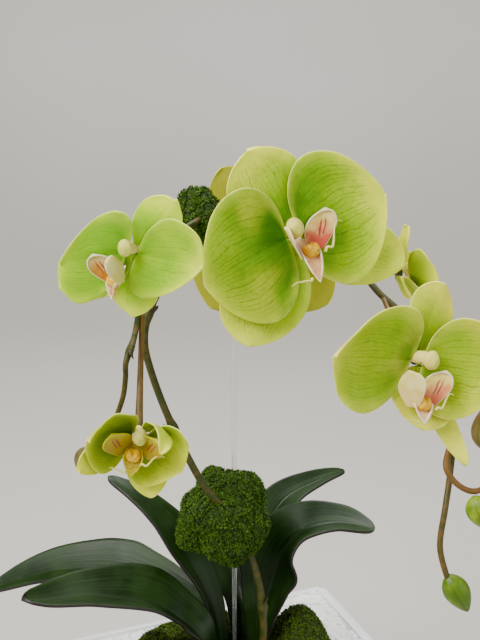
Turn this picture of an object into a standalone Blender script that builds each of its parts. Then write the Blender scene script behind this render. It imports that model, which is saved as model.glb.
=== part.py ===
"""Potted moth orchid: a square planter with gravel and moss, six strap leaves, a clear
stake, an arching flower spike with a side branch, six open flowers and three buds.

Metres, +Z up. The origin is the middle of the planter's underside, and the planter's sides
lie along X and Y. The plant stands turned in the planter, so it hangs on one turned empty.
"""

import math

import bmesh
import bpy
from mathutils import Matrix, Vector, noise

# ---- planter and what fills it ----
POT_SIDE = 0.240
POT_HEIGHT = 0.124
POT_WALL = 0.007
POT_FLOOR = 0.009
POT_CORNER = 0.012
FIT_GAP = 0.0004
GRAVEL_DEPTH = 0.014
GRAVEL_BELOW_RIM = 0.002
CROWN_HOLE = 0.027
CROWN = Vector((-0.009, 0.008, 0.0))
PLANT_TURN = math.radians(-21.5)
PLANT_AT = Vector((0.006, 0.003, 0.0))
# the plant's own points are drawn for a planter of this height, and rise with a taller one
PLANTED_HEIGHT = 0.124

# ---- moss ----
MOSS_CENTRE = Vector((-0.018, 0.008, 0.0))
MOSS_RADIUS = 0.078
MOSS_EDGE = 0.004
MOSS_HILL = 0.024
MOSS_CLUMPS = (
    (0.036, 0.014, 0.027, 0.038),
    (-0.030, -0.036, 0.021, 0.038),
    (-0.076, 0.004, 0.024, 0.034),
    (0.002, -0.046, 0.026, 0.018),
    (0.020, 0.054, 0.022, 0.014),
    (-0.030, 0.062, 0.020, 0.010),
)
TUFT_LOWER_AT = Vector((-0.0200, 0.0010, 0.2560))
TUFT_LOWER_RADIUS = 0.029
TUFT_UPPER_AT = Vector((-0.0330, 0.0035, 0.4475))
TUFT_UPPER_RADIUS = 0.0185
TUFT_LUMPS = 0.22

# ---- stake, spike and branch ----
STAKE_RADIUS = 0.0016
STAKE_FOOT = Vector((-0.0124, 0.0138, 0.040))
STAKE_TOP = Vector((-0.0133, 0.0205, 0.456))
SPIKE_RADIUS_FOOT = 0.0027
SPIKE_RADIUS_TIP = 0.0015
BRANCH_RADIUS_FOOT = 0.0019
BRANCH_RADIUS_TIP = 0.0013
STALK_RADIUS = 0.0015
NODE_SWELLING = 0.45
NODE_LENGTH = 0.003
ROUTE_STEP = 0.0085
ROUTE_FINE_STEP = 0.0005
STALK_SEARCH_STEP = 0.001
STALK_PARTS = 9
STALK_END_GAP = 0.0009
SPIKE_ROUTE = (
    (0.0030, -0.0050, 0.1130), (0.0055, -0.0085, 0.1500), (0.0060, -0.0108, 0.1938),
    (0.0000, -0.0122, 0.2280), (-0.0090, -0.0140, 0.2500), (-0.0202, -0.0168, 0.2702),
    (-0.0337, -0.0181, 0.2898), (-0.0514, -0.0208, 0.3294),
    (-0.0620, -0.0250, 0.3632), (-0.0650, -0.0240, 0.3828),
    (-0.0603, -0.0180, 0.4015), (-0.0455, -0.0080, 0.4249), (-0.0255, -0.0040, 0.4478),
    (-0.0032, -0.0110, 0.4598), (0.0190, -0.0290, 0.4600), (0.0390, -0.0430, 0.4480),
    (0.0535, -0.0560, 0.4320), (0.0639, -0.0695, 0.4194), (0.0770, -0.0825, 0.4080),
    (0.0890, -0.0935, 0.3880), (0.0972, -0.0985, 0.3700), (0.0980, -0.1095, 0.3545),
    (0.0946, -0.1220, 0.3395), (0.0908, -0.1314, 0.3243), (0.0879, -0.1373, 0.3088),
    (0.0900, -0.1420, 0.2975),
)
SPIKE_NODES = (0.085, 0.225, 0.300, 0.405, 0.462, 0.520, 0.560)
BRANCH_ROUTE = (
    (-0.0300, -0.0080, 0.4510), (-0.0427, -0.0321, 0.4457), (-0.0536, -0.0501, 0.4353),
    (-0.0590, -0.0660, 0.4245), (-0.0622, -0.0731, 0.4094), (-0.0640, -0.0831, 0.3980),
    (-0.0670, -0.0948, 0.3885), (-0.0680, -0.0915, 0.3788), (-0.0700, -0.0915, 0.3672),
    (-0.0760, -0.0920, 0.3530), (-0.0845, -0.0930, 0.3440),
)
BRANCH_NODES = (0.044, 0.078, 0.112)

# ---- leaves: tip-ward route points, widest half width, blade thickness ----
LEAF_THICKNESS = 0.0022
LEAF_BASE_HALF = 0.0062
LEAF_FOLD = 0.70
LEAF_STATIONS = 10
LEAF_ROUTES = {
    "leaf_near_left": (
        ((-0.0255, -0.0040, 0.135), (-0.0340, -0.0060, 0.1684), (-0.0497, -0.0025, 0.1826),
         (-0.0726, -0.0062, 0.1979), (-0.1046, -0.0234, 0.2119), (-0.1282, -0.0414, 0.2200),
         (-0.1416, -0.0495, 0.2260)), 0.0240, -0.20),
    "leaf_far_left": (
        ((-0.0240, 0.0215, 0.140), (-0.0333, 0.0310, 0.1680), (-0.0613, 0.0440, 0.1800),
         (-0.0863, 0.0531, 0.1830), (-0.1102, 0.0613, 0.1820), (-0.1500, 0.0707, 0.1750),
         (-0.2000, 0.0768, 0.1560)), 0.0230, -0.30),
    "leaf_upright_left": (
        ((-0.0230, 0.0125, 0.145), (-0.0270, 0.0165, 0.1723), (-0.0325, 0.0195, 0.1889),
         (-0.0455, 0.0251, 0.2121), (-0.0617, 0.0334, 0.2330), (-0.0813, 0.0401, 0.2517),
         (-0.1014, 0.0462, 0.2637)), 0.0150, -0.20),
    "leaf_centre": (
        ((-0.0080, 0.0290, 0.145), (-0.0098, 0.0370, 0.1706), (-0.0150, 0.0500, 0.1858),
         (-0.0200, 0.0667, 0.1977), (-0.0270, 0.0843, 0.2062)), 0.0150, 0.0),
    "leaf_upper_right": (
        ((0.0020, 0.0220, 0.140), (0.0020, 0.0290, 0.1734), (0.0030, 0.0389, 0.1978),
         (0.0100, 0.0529, 0.2203), (0.0238, 0.0699, 0.2344), (0.0468, 0.0867, 0.2402),
         (0.0711, 0.0982, 0.2448)), 0.0160, 0.20),
    "leaf_lower_right": (
        ((0.0040, 0.0070, 0.140), (0.0075, 0.0100, 0.1760), (0.0140, 0.0160, 0.2007),
         (0.0215, 0.0215, 0.2202), (0.0359, 0.0240, 0.2335), (0.0584, 0.0230, 0.2390),
         (0.0812, 0.0120, 0.2400)), 0.0240, 0.20),
}

# ---- one full-size flower, facing -Y with its column on the Y axis ----
PETAL_LENGTH = 0.0470
PETAL_WIDTH = 0.0710
DORSAL_LENGTH = 0.0440
DORSAL_WIDTH = 0.0370
LATERAL_LENGTH = 0.0550
LATERAL_WIDTH = 0.0440
CLAW_HALF = 0.0024
TEPAL_THICKNESS = 0.0009
LAYER_GAP = 0.0028
HUB_RADIUS = 0.0028
COLUMN_LENGTH = 0.0125
COLUMN_BACK = 0.0055
RUFFLE = 0.0012
TEPAL_ROWS = 6
TEPAL_COLUMNS = 4

# One entry for each open flower. place: hub; turn: yaw, pitch and roll; size: all but the lip;
# lip: size of the lip and column; breadth: petals, sepals; bowl: curvature (1/m, + closes
# forward); angles: dorsal, left lateral, right lateral, left petal, right petal.
FLOWERS = {
    "centre": {
        "place": (0.0168, -0.0963, 0.4541), "turn": (17, 4, 20), "size": 1.02, "lip": 1.00,
        "breadth": (1.00, 0.95), "bowl": 4.5, "angles": (101, 223, -33, 179, 6)},
    "left": {
        "place": (-0.0607, -0.1040, 0.4470), "turn": (-25, 20, 0), "size": 0.82, "lip": 0.85,
        "breadth": (0.82, 1.08), "bowl": 2.0, "angles": (40, 202, 250, 187, 8)},
    "lower_left": {
        "place": (-0.0603, -0.1068, 0.3540), "turn": (4, 22, -6), "size": 0.57, "lip": 0.66,
        "breadth": (1.22, 0.85), "bowl": 15.0, "angles": (64, 209, 286, 167, -28)},
    "right": {
        "place": (0.0752, -0.1214, 0.3972), "turn": (10, -5, 0), "size": 0.82, "lip": 0.95,
        "breadth": (0.90, 0.70), "bowl": 8.0, "angles": (74, 201, -69, 173, -13)},
    "rear": {
        "place": (0.0040, 0.0560, 0.4270), "turn": (176, 5, -30), "size": 1.02, "lip": 0.95,
        "breadth": (1.0, 1.0), "bowl": 2.0, "angles": (90, 225, -45, 180, 0)},
    "rear_right": {
        "place": (0.0790, -0.0600, 0.4290), "turn": (98, -15, 10), "size": 0.48, "lip": 0.60,
        "breadth": (0.95, 0.90), "bowl": 13.0, "angles": (90, 225, -45, 180, 0)},
}
TEPALS = ("dorsal_sepal", "left_lateral_sepal", "right_lateral_sepal", "left_petal", "right_petal")
# tepal: length, width, rise, fall, bow, height of its layer over the hub
TEPAL_FORMS = {
    "dorsal_sepal": (DORSAL_LENGTH, DORSAL_WIDTH, 0.9, 0.55, 0.05, -0.5),
    "left_lateral_sepal": (LATERAL_LENGTH, LATERAL_WIDTH, 0.9, 0.55, 0.05, -0.5),
    "right_lateral_sepal": (LATERAL_LENGTH, LATERAL_WIDTH, 0.9, 0.55, 0.05, -1.5),
    "left_petal": (PETAL_LENGTH, PETAL_WIDTH, 0.60, 0.50, 0.15, 0.5),
    "right_petal": (PETAL_LENGTH, PETAL_WIDTH, 0.60, 0.50, 0.15, 0.5),
}
# flower: stalk starts at this length along its spike, first leg, last leg
SPIKE_STALKS = {
    "centre": (0.405, 0.012, 0.020),
    "right": (0.500, 0.006, 0.010),
    "rear": (0.372, 0.012, 0.020),
    "rear_right": (0.455, 0.003, 0.006),
}
BRANCH_STALKS = {
    "left": (0.044, 0.010, 0.018),
    "lower_left": (0.078, 0.012, 0.014),
}

# name: place of the stalk end, direction, length, radius
BUDS = {
    "bud_right_tip": ((0.0910, -0.1424, 0.2955), (0.50, -0.10, -0.86), 0.0215, 0.0064),
    "bud_right_side": ((0.1045, -0.1310, 0.3315), (0.35, -0.10, -0.93), 0.0180, 0.0064),
    "bud_left_tip": ((-0.0870, -0.0935, 0.3415), (-0.55, 0.0, -1.0), 0.0150, 0.0056),
}
FAR_BUD_AT = Vector((0.1150, -0.1190, 0.3490))
FAR_BUD_RADIUS = 0.0095
FAR_BUD_LENGTH = 0.026
FAR_STALK_ROUTE = (
    (0.0978, -0.1115, 0.3535), (0.0925, -0.1235, 0.3505), (0.0908, -0.1289, 0.3450),
    (0.0952, -0.1309, 0.3384), (0.1027, -0.1301, 0.3337), (0.1097, -0.1275, 0.3339),
    (0.1150, -0.1230, 0.3400), (0.1152, -0.1192, 0.3500),
)


# ------------------------------------------------------------------ shared helpers
def clear_scene():
    for thing in list(bpy.data.objects):
        bpy.data.objects.remove(thing, do_unlink=True)


def material(name, colour, roughness):
    made = bpy.data.materials.get(name)
    if made is None:
        made = bpy.data.materials.new(name)
        made.use_nodes = True
        shader = made.node_tree.nodes["Principled BSDF"]
        shader.inputs["Base Color"].default_value = (*colour, 1.0)
        shader.inputs["Roughness"].default_value = roughness
        shader.inputs["Metallic"].default_value = 0.0
        made.diffuse_color = (*colour, 1.0)
    return made


def add_mesh(name, bm, finish, parent=None):
    mesh = bpy.data.meshes.new(name)
    bmesh.ops.recalc_face_normals(bm, faces=bm.faces)
    bm.to_mesh(mesh)
    bm.free()
    mesh.materials.append(finish)
    mesh.shade_smooth()
    made = bpy.data.objects.new(name, mesh)
    bpy.context.collection.objects.link(made)
    made.parent = parent
    return made


def add_empty(name, parent=None):
    made = bpy.data.objects.new(name, None)
    bpy.context.collection.objects.link(made)
    made.parent = parent
    return made


def guide(thing):
    thing.hide_render = True
    thing.display_type = "WIRE"
    return thing


def boolean(target, tool, operation):
    cut = target.modifiers.new(tool.name, "BOOLEAN")
    cut.operation = operation
    cut.solver = "EXACT"
    cut.object = guide(tool)


def smooth_route(points, step):
    """Catmull-Rom curve through the points, walked in even steps."""
    points = [Vector(point) for point in points]
    ends = [2 * points[0] - points[1]] + points + [2 * points[-1] - points[-2]]
    fine = []
    for before, start, end, after in zip(ends, ends[1:], ends[2:], ends[3:]):
        for part in range(16):
            u = part / 16
            fine.append(0.5 * (2 * start + (end - before) * u
                               + (2 * before - 5 * start + 4 * end - after) * u ** 2
                               + (3 * start - before - 3 * end + after) * u ** 3))
    fine.append(points[-1])
    lengths = [0.0]
    for start, end in zip(fine, fine[1:]):
        lengths.append(lengths[-1] + (end - start).length)
    count = max(2, round(lengths[-1] / step))
    return [along_route(fine, lengths, lengths[-1] * i / count) for i in range(count + 1)]


def along_route(fine, lengths, distance):
    for i in range(1, len(fine)):
        if lengths[i] >= distance:
            share = (distance - lengths[i - 1]) / max(lengths[i] - lengths[i - 1], 1e-9)
            return fine[i - 1].lerp(fine[i], share)
    return fine[-1]


def tube(name, points, radii, finish, parent=None, sides=3):
    """A round stalk: a bevelled curve with filled caps, turned into a mesh."""
    curve = bpy.data.curves.new(name, "CURVE")
    curve.dimensions = "3D"
    curve.bevel_depth = 1.0
    curve.bevel_resolution = sides
    curve.use_fill_caps = True
    spline = curve.splines.new("POLY")
    spline.points.add(len(points) - 1)
    for knot, point, radius in zip(spline.points, points, radii):
        knot.co = (*point, 1.0)
        knot.radius = radius
    made = bpy.data.objects.new(name, curve)
    bpy.context.collection.objects.link(made)
    shaped = made.evaluated_get(bpy.context.evaluated_depsgraph_get())
    mesh = bpy.data.meshes.new_from_object(shaped)
    bpy.data.objects.remove(made, do_unlink=True)
    bm = bmesh.new()
    bm.from_mesh(mesh)
    bmesh.ops.remove_doubles(bm, verts=bm.verts, dist=1e-6)
    return add_mesh(name, bm, finish, parent)


def sheet(name, rows, thickness, finish, parent):
    """A thin curved blade from rows of points; the last row is one tip point."""
    bm = bmesh.new()
    grid = [[bm.verts.new(point) for point in row] for row in rows]
    for lower, upper in zip(grid, grid[1:]):
        for i in range(len(lower) - 1):
            if len(upper) == 1:
                bm.faces.new((lower[i], lower[i + 1], upper[0]))
            else:
                bm.faces.new((lower[i], lower[i + 1], upper[i + 1], upper[i]))
    made = add_mesh(name, bm, finish, parent)
    wall = made.modifiers.new("thickness", "SOLIDIFY")
    wall.thickness = thickness
    wall.offset = 0.0
    return made


def lathe(bm, profile, axis_matrix, segments=12):
    """Closed turned solid from (radius, height) pairs whose ends lie on the axis."""
    rings = []
    for radius, height in profile:
        if radius == 0.0:
            rings.append([bm.verts.new(axis_matrix @ Vector((0, 0, height)))])
            continue
        ring = []
        for i in range(segments):
            angle = 2 * math.pi * i / segments
            spot = Vector((radius * math.cos(angle), radius * math.sin(angle), height))
            ring.append(bm.verts.new(axis_matrix @ spot))
        rings.append(ring)
    bridge_rings(bm, rings, segments)


def bridge_rings(bm, rings, segments):
    for lower, upper in zip(rings, rings[1:]):
        for i in range(segments):
            j = (i + 1) % segments
            corners = [lower[i % len(lower)], lower[j % len(lower)],
                       upper[j % len(upper)], upper[i % len(upper)]]
            if len(lower) == 1:
                corners.pop(0)
            if len(upper) == 1:
                corners.pop()
            bm.faces.new(corners)


# ------------------------------------------------------------------ planter
def rounded_block(name, side, low, high, corner, finish):
    bm = bmesh.new()
    bmesh.ops.create_cube(bm, size=1.0)
    size = Matrix.Diagonal((side, side, high - low, 1.0))
    bmesh.ops.transform(bm, matrix=Matrix.Translation((0, 0, (low + high) / 2)) @ size,
                        verts=bm.verts)
    upright = [edge for edge in bm.edges
               if abs(edge.verts[0].co.z - edge.verts[1].co.z) > (high - low) / 2]
    bmesh.ops.bevel(bm, geom=upright, offset=corner, segments=5, profile=0.5, affect="EDGES")
    made = add_mesh(name, bm, finish)
    made.data.set_sharp_from_angle(angle=math.radians(40))
    return made


def add_pot():
    glaze = material("white_glaze", (0.86, 0.87, 0.88), 0.25)
    pot = rounded_block("pot", POT_SIDE, 0.0, POT_HEIGHT, POT_CORNER, glaze)
    inside = rounded_block("pot_inside", POT_SIDE - 2 * POT_WALL, POT_FLOOR,
                           POT_HEIGHT * 1.2, POT_CORNER - POT_WALL / 2, glaze)
    boolean(pot, inside, "DIFFERENCE")


def crown_cutter(low, high):
    """A round plug where the plant's crown goes through the gravel."""
    place = (Matrix.Translation(PLANT_AT) @ Matrix.Rotation(PLANT_TURN, 4, "Z")
             @ Matrix.Translation(CROWN))
    bm = bmesh.new()
    lathe(bm, ((0.0, low), (CROWN_HOLE, low), (CROWN_HOLE, high), (0.0, high)), place, 24)
    return add_mesh("crown_opening", bm, material("guide", (0.5, 0.5, 0.5), 0.5))


def add_filling(plant):
    inner = POT_SIDE - 2 * POT_WALL - 2 * FIT_GAP
    corner = POT_CORNER - POT_WALL / 2
    gravel_top = POT_HEIGHT - GRAVEL_BELOW_RIM
    gravel_low = gravel_top - GRAVEL_DEPTH
    foam = material("foam", (0.10, 0.09, 0.05), 0.95)
    stones = material("white_gravel", (0.85, 0.86, 0.86), 0.7)
    medium = rounded_block("growing_medium", inner, POT_FLOOR + FIT_GAP,
                           gravel_low - FIT_GAP, corner, foam)
    gravel = rounded_block("gravel", inner, gravel_low, gravel_top, corner, stones)
    boolean(gravel, crown_cutter(gravel_low - 0.01, gravel_top + 0.01), "DIFFERENCE")
    socket = tube("stake_socket", (STAKE_FOOT - Vector((0, 0, FIT_GAP)), STAKE_TOP),
                  [STAKE_RADIUS + FIT_GAP] * 2, foam, plant, 4)
    boolean(medium, socket, "DIFFERENCE")


# ------------------------------------------------------------------ moss
def moss_height(x, y, reach):
    """Height of the moss over the gravel at a spot, reach being 0 inside to 1 at the rim."""
    height = MOSS_EDGE + MOSS_HILL * (1 - reach ** 2) ** 0.8
    for clump_x, clump_y, radius, rise in MOSS_CLUMPS:
        away = math.hypot(x - clump_x, y - clump_y) / radius
        if away < 1:
            height += rise * (1 - away ** 2) ** 0.75 * (1 - reach ** 6)
    lumps = noise.noise(Vector((x, y, 0.0)) * 70)
    return height + 0.003 * lumps * (1 - reach ** 4)


def add_moss_bed(plant):
    gravel_top = PLANTED_HEIGHT - GRAVEL_BELOW_RIM + FIT_GAP
    segments, rings = 36, 9
    bm = bmesh.new()
    tops = []
    for ring in range(rings + 1):
        row = []
        for i in range(segments):
            angle = 2 * math.pi * i / segments
            side = Vector((math.cos(angle), math.sin(angle), 0.0))
            rim = MOSS_CENTRE + side * MOSS_RADIUS * (1 + 0.08 * math.sin(3 * angle + 1))
            hole = CROWN + side * CROWN_HOLE
            spot = hole.lerp(rim, ring / rings)
            reach = ring / rings
            spot.z = gravel_top + moss_height(spot.x, spot.y, reach)
            row.append(bm.verts.new(spot))
        tops.append(row)
    foot_rim = [bm.verts.new((v.co.x, v.co.y, gravel_top)) for v in tops[-1]]
    foot_hole = [bm.verts.new((v.co.x, v.co.y, gravel_top)) for v in tops[0]]
    bridge_rings(bm, tops + [foot_rim, foot_hole, tops[0]], segments)
    return add_mesh("moss_bed", bm, material("moss", (0.07, 0.12, 0.01), 0.95), plant)


def add_tuft(name, centre, radius, plant, passing):
    """A ball of moss, cut clear of the stalks and the stake that run through it."""
    bm = bmesh.new()
    bmesh.ops.create_icosphere(bm, subdivisions=3, radius=radius)
    for vert in bm.verts:
        lump = noise.noise(vert.co * 1.6 / radius + centre * 40)
        vert.co *= 1 + TUFT_LUMPS * lump
    bmesh.ops.translate(bm, verts=bm.verts, vec=centre)
    tuft = add_mesh(name, bm, material("moss", (0.07, 0.12, 0.01), 0.95), plant)
    for tool in passing:
        boolean(tuft, tool, "DIFFERENCE")
    return tuft


# ------------------------------------------------------------------ stalks
def stalk_radii(points, foot, tip, nodes):
    """Radius at each point: an even taper with a swelling at each joint of the stalk."""
    lengths = [0.0]
    for start, end in zip(points, points[1:]):
        lengths.append(lengths[-1] + (end - start).length)
    radii = []
    for length in lengths:
        radius = foot + (tip - foot) * length / lengths[-1]
        if any(abs(length - node) < NODE_LENGTH for node in nodes):
            radius *= 1 + NODE_SWELLING
        radii.append(radius)
    return radii


def route_with_nodes(route, nodes):
    """Even steps along the route, with extra points either side of each joint."""
    fine = smooth_route(route, ROUTE_FINE_STEP)
    lengths = [0.0]
    for start, end in zip(fine, fine[1:]):
        lengths.append(lengths[-1] + (end - start).length)
    total = lengths[-1]
    count = round(total / ROUTE_STEP)
    stops = [total * i / count for i in range(count + 1)]
    stops = [s for s in stops if all(abs(s - node) > 2 * NODE_LENGTH for node in nodes)]
    for node in nodes:
        stops += [node + NODE_LENGTH * k for k in (-1.3, -0.6, 0.6, 1.3)]
    return [along_route(fine, lengths, stop) for stop in sorted(stops)]


def flower_axis(flower):
    """Matrix of a flower's own frame in the plant's frame."""
    yaw, pitch, roll = FLOWERS[flower]["turn"]
    turn = (Matrix.Rotation(math.radians(yaw), 4, "Z")
            @ Matrix.Rotation(math.radians(pitch), 4, "X")
            @ Matrix.Rotation(math.radians(-roll), 4, "Y"))
    return Matrix.Translation(FLOWERS[flower]["place"]) @ turn


def bezier(points, count):
    """Cubic curve through four control points."""
    a, b, c, d = points
    return [a * (1 - u) ** 3 + 3 * b * u * (1 - u) ** 2 + 3 * c * u ** 2 * (1 - u) + d * u ** 3
            for u in (i / count for i in range(count + 1))]


def flower_stalk_line(flower, route, start, first_leg, last_leg):
    """The short stalk from its start along a spike to the back of its flower."""
    fine = smooth_route(route, STALK_SEARCH_STEP)
    root = fine[min(round(start / STALK_SEARCH_STEP), len(fine) - 1)]
    axis = flower_axis(flower)
    back = axis.to_3x3() @ Vector((0, 1, 0))
    end = axis @ Vector((0, COLUMN_BACK * FLOWERS[flower]["lip"] + STALK_END_GAP, 0))
    lead = (end + back * last_leg - root).normalized()
    return bezier((root, root + lead * first_leg, end + back * last_leg, end), STALK_PARTS)


def add_flower_stalk(flower, route, legs, owner, plant):
    """A flower's stalk, joined into the spike or branch it grows from."""
    points = flower_stalk_line(flower, route, *legs)
    stalk = tube(flower + "_stalk", points, [STALK_RADIUS] * len(points),
                 owner.data.materials[0], plant)
    boolean(owner, stalk, "UNION")


def add_far_bud(owner, plant):
    """The large closed bud at the far right, on its own reddish stalk, grown with the spike."""
    points = smooth_route(FAR_STALK_ROUTE, ROUTE_STEP / 2)
    stalk = tube("far_bud_stalk", points, [STALK_RADIUS] * len(points),
                 owner.data.materials[0], plant)
    boolean(owner, stalk, "UNION")
    bud = add_bud("far_bud", FAR_BUD_AT, (-0.10, 0.0, 1.0), FAR_BUD_LENGTH, FAR_BUD_RADIUS, plant)
    boolean(owner, bud, "UNION")


def add_spike(plant):
    green = material("spike_green", (0.05, 0.07, 0.015), 0.55)
    spike = tube("flower_spike", *main_spike_line(), green, plant)
    for flower, legs in SPIKE_STALKS.items():
        add_flower_stalk(flower, SPIKE_ROUTE, legs, spike, plant)
    add_far_bud(spike, plant)
    branch = tube("side_branch", *side_branch_line(), green, plant)
    for flower, legs in BRANCH_STALKS.items():
        add_flower_stalk(flower, BRANCH_ROUTE, legs, branch, plant)


def clearance(name, points, radii, plant):
    """A slightly fatter copy of a stalk, to cut its way through what it passes."""
    first = points[0] + (points[0] - points[1]).normalized() * 2 * FIT_GAP
    last = points[-1] + (points[-1] - points[-2]).normalized() * 2 * FIT_GAP
    way = [first, *points[1:-1], last]
    return tube(name, way, [radius + 2 * FIT_GAP for radius in radii],
                material("guide", (0.5, 0.5, 0.5), 0.5), plant)


def main_spike_line():
    points = route_with_nodes(SPIKE_ROUTE, SPIKE_NODES)
    return points, stalk_radii(points, SPIKE_RADIUS_FOOT, SPIKE_RADIUS_TIP, SPIKE_NODES)


def side_branch_line():
    points = route_with_nodes(BRANCH_ROUTE, BRANCH_NODES)
    return points, stalk_radii(points, BRANCH_RADIUS_FOOT, BRANCH_RADIUS_TIP, BRANCH_NODES)


def add_stake(plant):
    clear = material("clear_acrylic", (0.80, 0.84, 0.84), 0.05)
    return tube("stake", (STAKE_FOOT, STAKE_TOP), [STAKE_RADIUS] * 2, clear, plant, 4)


# ------------------------------------------------------------------ buds
def add_bud(name, place, direction, length, radius, plant):
    """A closed bud: a turned drop with its blunt end on the stalk."""
    profile = ((0.0, 0.0), (0.45, 0.04), (0.82, 0.20), (1.0, 0.45), (0.86, 0.70),
               (0.50, 0.91), (0.0, 1.0))
    turn = Vector(direction).to_track_quat("Z", "Y").to_matrix().to_4x4()
    bm = bmesh.new()
    lathe(bm, [(radius * r, length * h) for r, h in profile],
          Matrix.Translation(place) @ turn, 12)
    return add_mesh(name, bm, material("bud_green", (0.11, 0.17, 0.01), 0.5), plant)


# ------------------------------------------------------------------ leaves
def leaf_half_width(share, widest):
    """Half width along a strap leaf: narrow base, broad middle, round tip."""
    swell = min(1.0, share / 0.45) ** 1.7
    tip = max(0.0, 1 - max(0.0, share - 0.55) / 0.45) ** 0.5
    return (LEAF_BASE_HALF + (widest - LEAF_BASE_HALF) * swell) * tip


def add_leaf(name, route, widest, tilt, plant):
    points = smooth_route(route, STALK_SEARCH_STEP)
    rows = []
    for station in range(LEAF_STATIONS + 1):
        share = station / LEAF_STATIONS
        index = round(share * (len(points) - 1))
        here = points[index]
        ahead = points[min(index + 1, len(points) - 1)] - points[max(index - 1, 0)]
        ahead.normalize()
        side = ahead.cross(Vector((0, 0, 1))).normalized()
        side = Matrix.Rotation(tilt * min(1.0, 2 * share), 3, ahead) @ side
        over = side.cross(ahead)
        half = leaf_half_width(share, widest)
        fold = LEAF_FOLD * (1 - 0.5 * share)
        if station == LEAF_STATIONS:
            rows.append([here])
            continue
        rows.append([here + side * half * t + over * half * fold * abs(t) ** 1.25
                     for t in (-1.0, -0.55, 0.0, 0.55, 1.0)])
    finish = material("leaf_green", (0.020, 0.045, 0.015), 0.35)
    return sheet(name, rows, LEAF_THICKNESS, finish, plant)


# ------------------------------------------------------------------ flowers
def tepal_half_width(share, width, rise, fall):
    """Half width from the claw (0) to the tip (1)."""
    best = rise / (rise + fall)
    peak = best ** rise * (1 - best) ** fall
    swell = share ** rise * (1 - share) ** fall / peak
    return CLAW_HALF * (1 - share) + (width / 2 - CLAW_HALF * (1 - best)) * swell


def bowl(x, z, lift, curvature):
    """Bend the flat flower into a shallow bowl; lift is the height towards the viewer."""
    reach = math.hypot(x, z)
    if reach < 1e-6 or abs(curvature) < 1e-6:
        return Vector((x, -lift, z))
    turn = reach * curvature
    radial = math.sin(turn) / curvature - lift * math.sin(turn)
    forward = (1 - math.cos(turn)) / curvature + lift * math.cos(turn)
    return Vector((x / reach * radial, -forward, z / reach * radial))


def add_tepal(name, form, angle, shape, finish, seat):
    """One sepal or petal, drawn flat, lifted to its layer and bent into the flower's bowl."""
    length, width, rise, fall, bow, layer = form
    size, breadth, curvature = shape
    width *= breadth
    start = HUB_RADIUS + 2 * FIT_GAP
    rows = []
    for i in range(TEPAL_ROWS + 1):
        share = math.sin(math.pi / 2 * i / TEPAL_ROWS)
        half = tepal_half_width(share, width, rise, fall)
        columns = [0.0]
        if i < TEPAL_ROWS:
            columns = [2 * k / TEPAL_COLUMNS - 1 for k in range(TEPAL_COLUMNS + 1)]
        row = []
        for t in columns:
            along = start + length * size * (share - bow * t * t * half / (width / 2))
            across = half * t * size
            x = along * math.cos(angle) - across * math.sin(angle)
            z = along * math.sin(angle) + across * math.cos(angle)
            wave = RUFFLE * (1 + math.sin(9 * share + 2 * t)) * t * t * share
            lift = layer * LAYER_GAP + math.copysign(wave, layer)
            row.append(bowl(x, z, lift, curvature))
        rows.append(row)
    return sheet(name, rows, TEPAL_THICKNESS, finish, seat)


# lip stations in mm: forward, drop, half width, wall height, how far the wall top leans forward
LIP_STATIONS = (
    (5.0, 4.6, 3.0, 1.2, 0.0), (7.5, 5.6, 7.4, 12.0, -1.0), (10.5, 7.2, 8.8, 17.0, 1.5),
    (13.5, 8.8, 7.4, 11.5, 4.0), (16.5, 12.5, 5.0, 4.0, 1.0), (20.0, 16.5, 3.4, 1.8, 0.0),
)
LIP_TIP = (23.0, 19.0)
LIP_THICKNESS = 0.0012
LIP_COLUMNS = (-1.0, -0.6, -0.2, 0.2, 0.6, 1.0)


def add_lip(name, size, finish, seat):
    """The lip: one trough-shaped sheet whose sides stand up beside the column."""
    unit = 0.001 * size
    rows = []
    for forward, drop, half, wall, lean in LIP_STATIONS:
        row = []
        for t in LIP_COLUMNS:
            x = half * math.copysign(math.sin(abs(t) * 1.7), t)
            z = wall * abs(t) ** 2.2 - drop
            row.append(Vector((x, -forward - lean * t * t, z)) * unit)
        rows.append(row)
    rows.append([Vector((0, -LIP_TIP[0], -LIP_TIP[1])) * unit])
    return sheet(name, rows, LIP_THICKNESS * size, finish, seat)


def add_column(name, size, finish, seat):
    """The column: the round body that the petals grow from, with the pollen cap at its end."""
    profile = ((0.0, -COLUMN_BACK), (HUB_RADIUS / size, -COLUMN_BACK), (HUB_RADIUS / size, 0.001),
               (0.0023, 0.006), (0.0026, 0.009), (0.0031, 0.0108), (0.0020, 0.0122),
               (0.0, COLUMN_LENGTH))
    turn = Matrix.Rotation(math.radians(90), 4, "X")
    bm = bmesh.new()
    lathe(bm, [(radius * size, height * size) for radius, height in profile], turn, 10)
    return add_mesh(name, bm, finish, seat)


def add_flower(flower, plant):
    facts = FLOWERS[flower]
    yaw, pitch, roll = (math.radians(angle) for angle in facts["turn"])
    seat = add_empty(flower + "_flower", plant)
    seat.location = facts["place"]
    seat.rotation_mode = "YXZ"
    seat.rotation_euler = (pitch, -roll, yaw)
    green = material("petal_green", (0.36, 0.52, 0.09), 0.5)
    petal_breadth, sepal_breadth = facts["breadth"]
    for part, angle in zip(TEPALS, facts["angles"]):
        breadth = sepal_breadth if part.endswith("sepal") else petal_breadth
        shape = (facts["size"], breadth, facts["bowl"] / facts["size"])
        add_tepal(flower + "_" + part, TEPAL_FORMS[part], math.radians(angle), shape, green, seat)
    cream = material("lip_cream", (0.80, 0.70, 0.40), 0.5)
    add_lip(flower + "_lip", facts["lip"], cream, seat)
    pale = material("column_cream", (0.85, 0.82, 0.62), 0.45)
    add_column(flower + "_column", facts["lip"], pale, seat)


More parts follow.
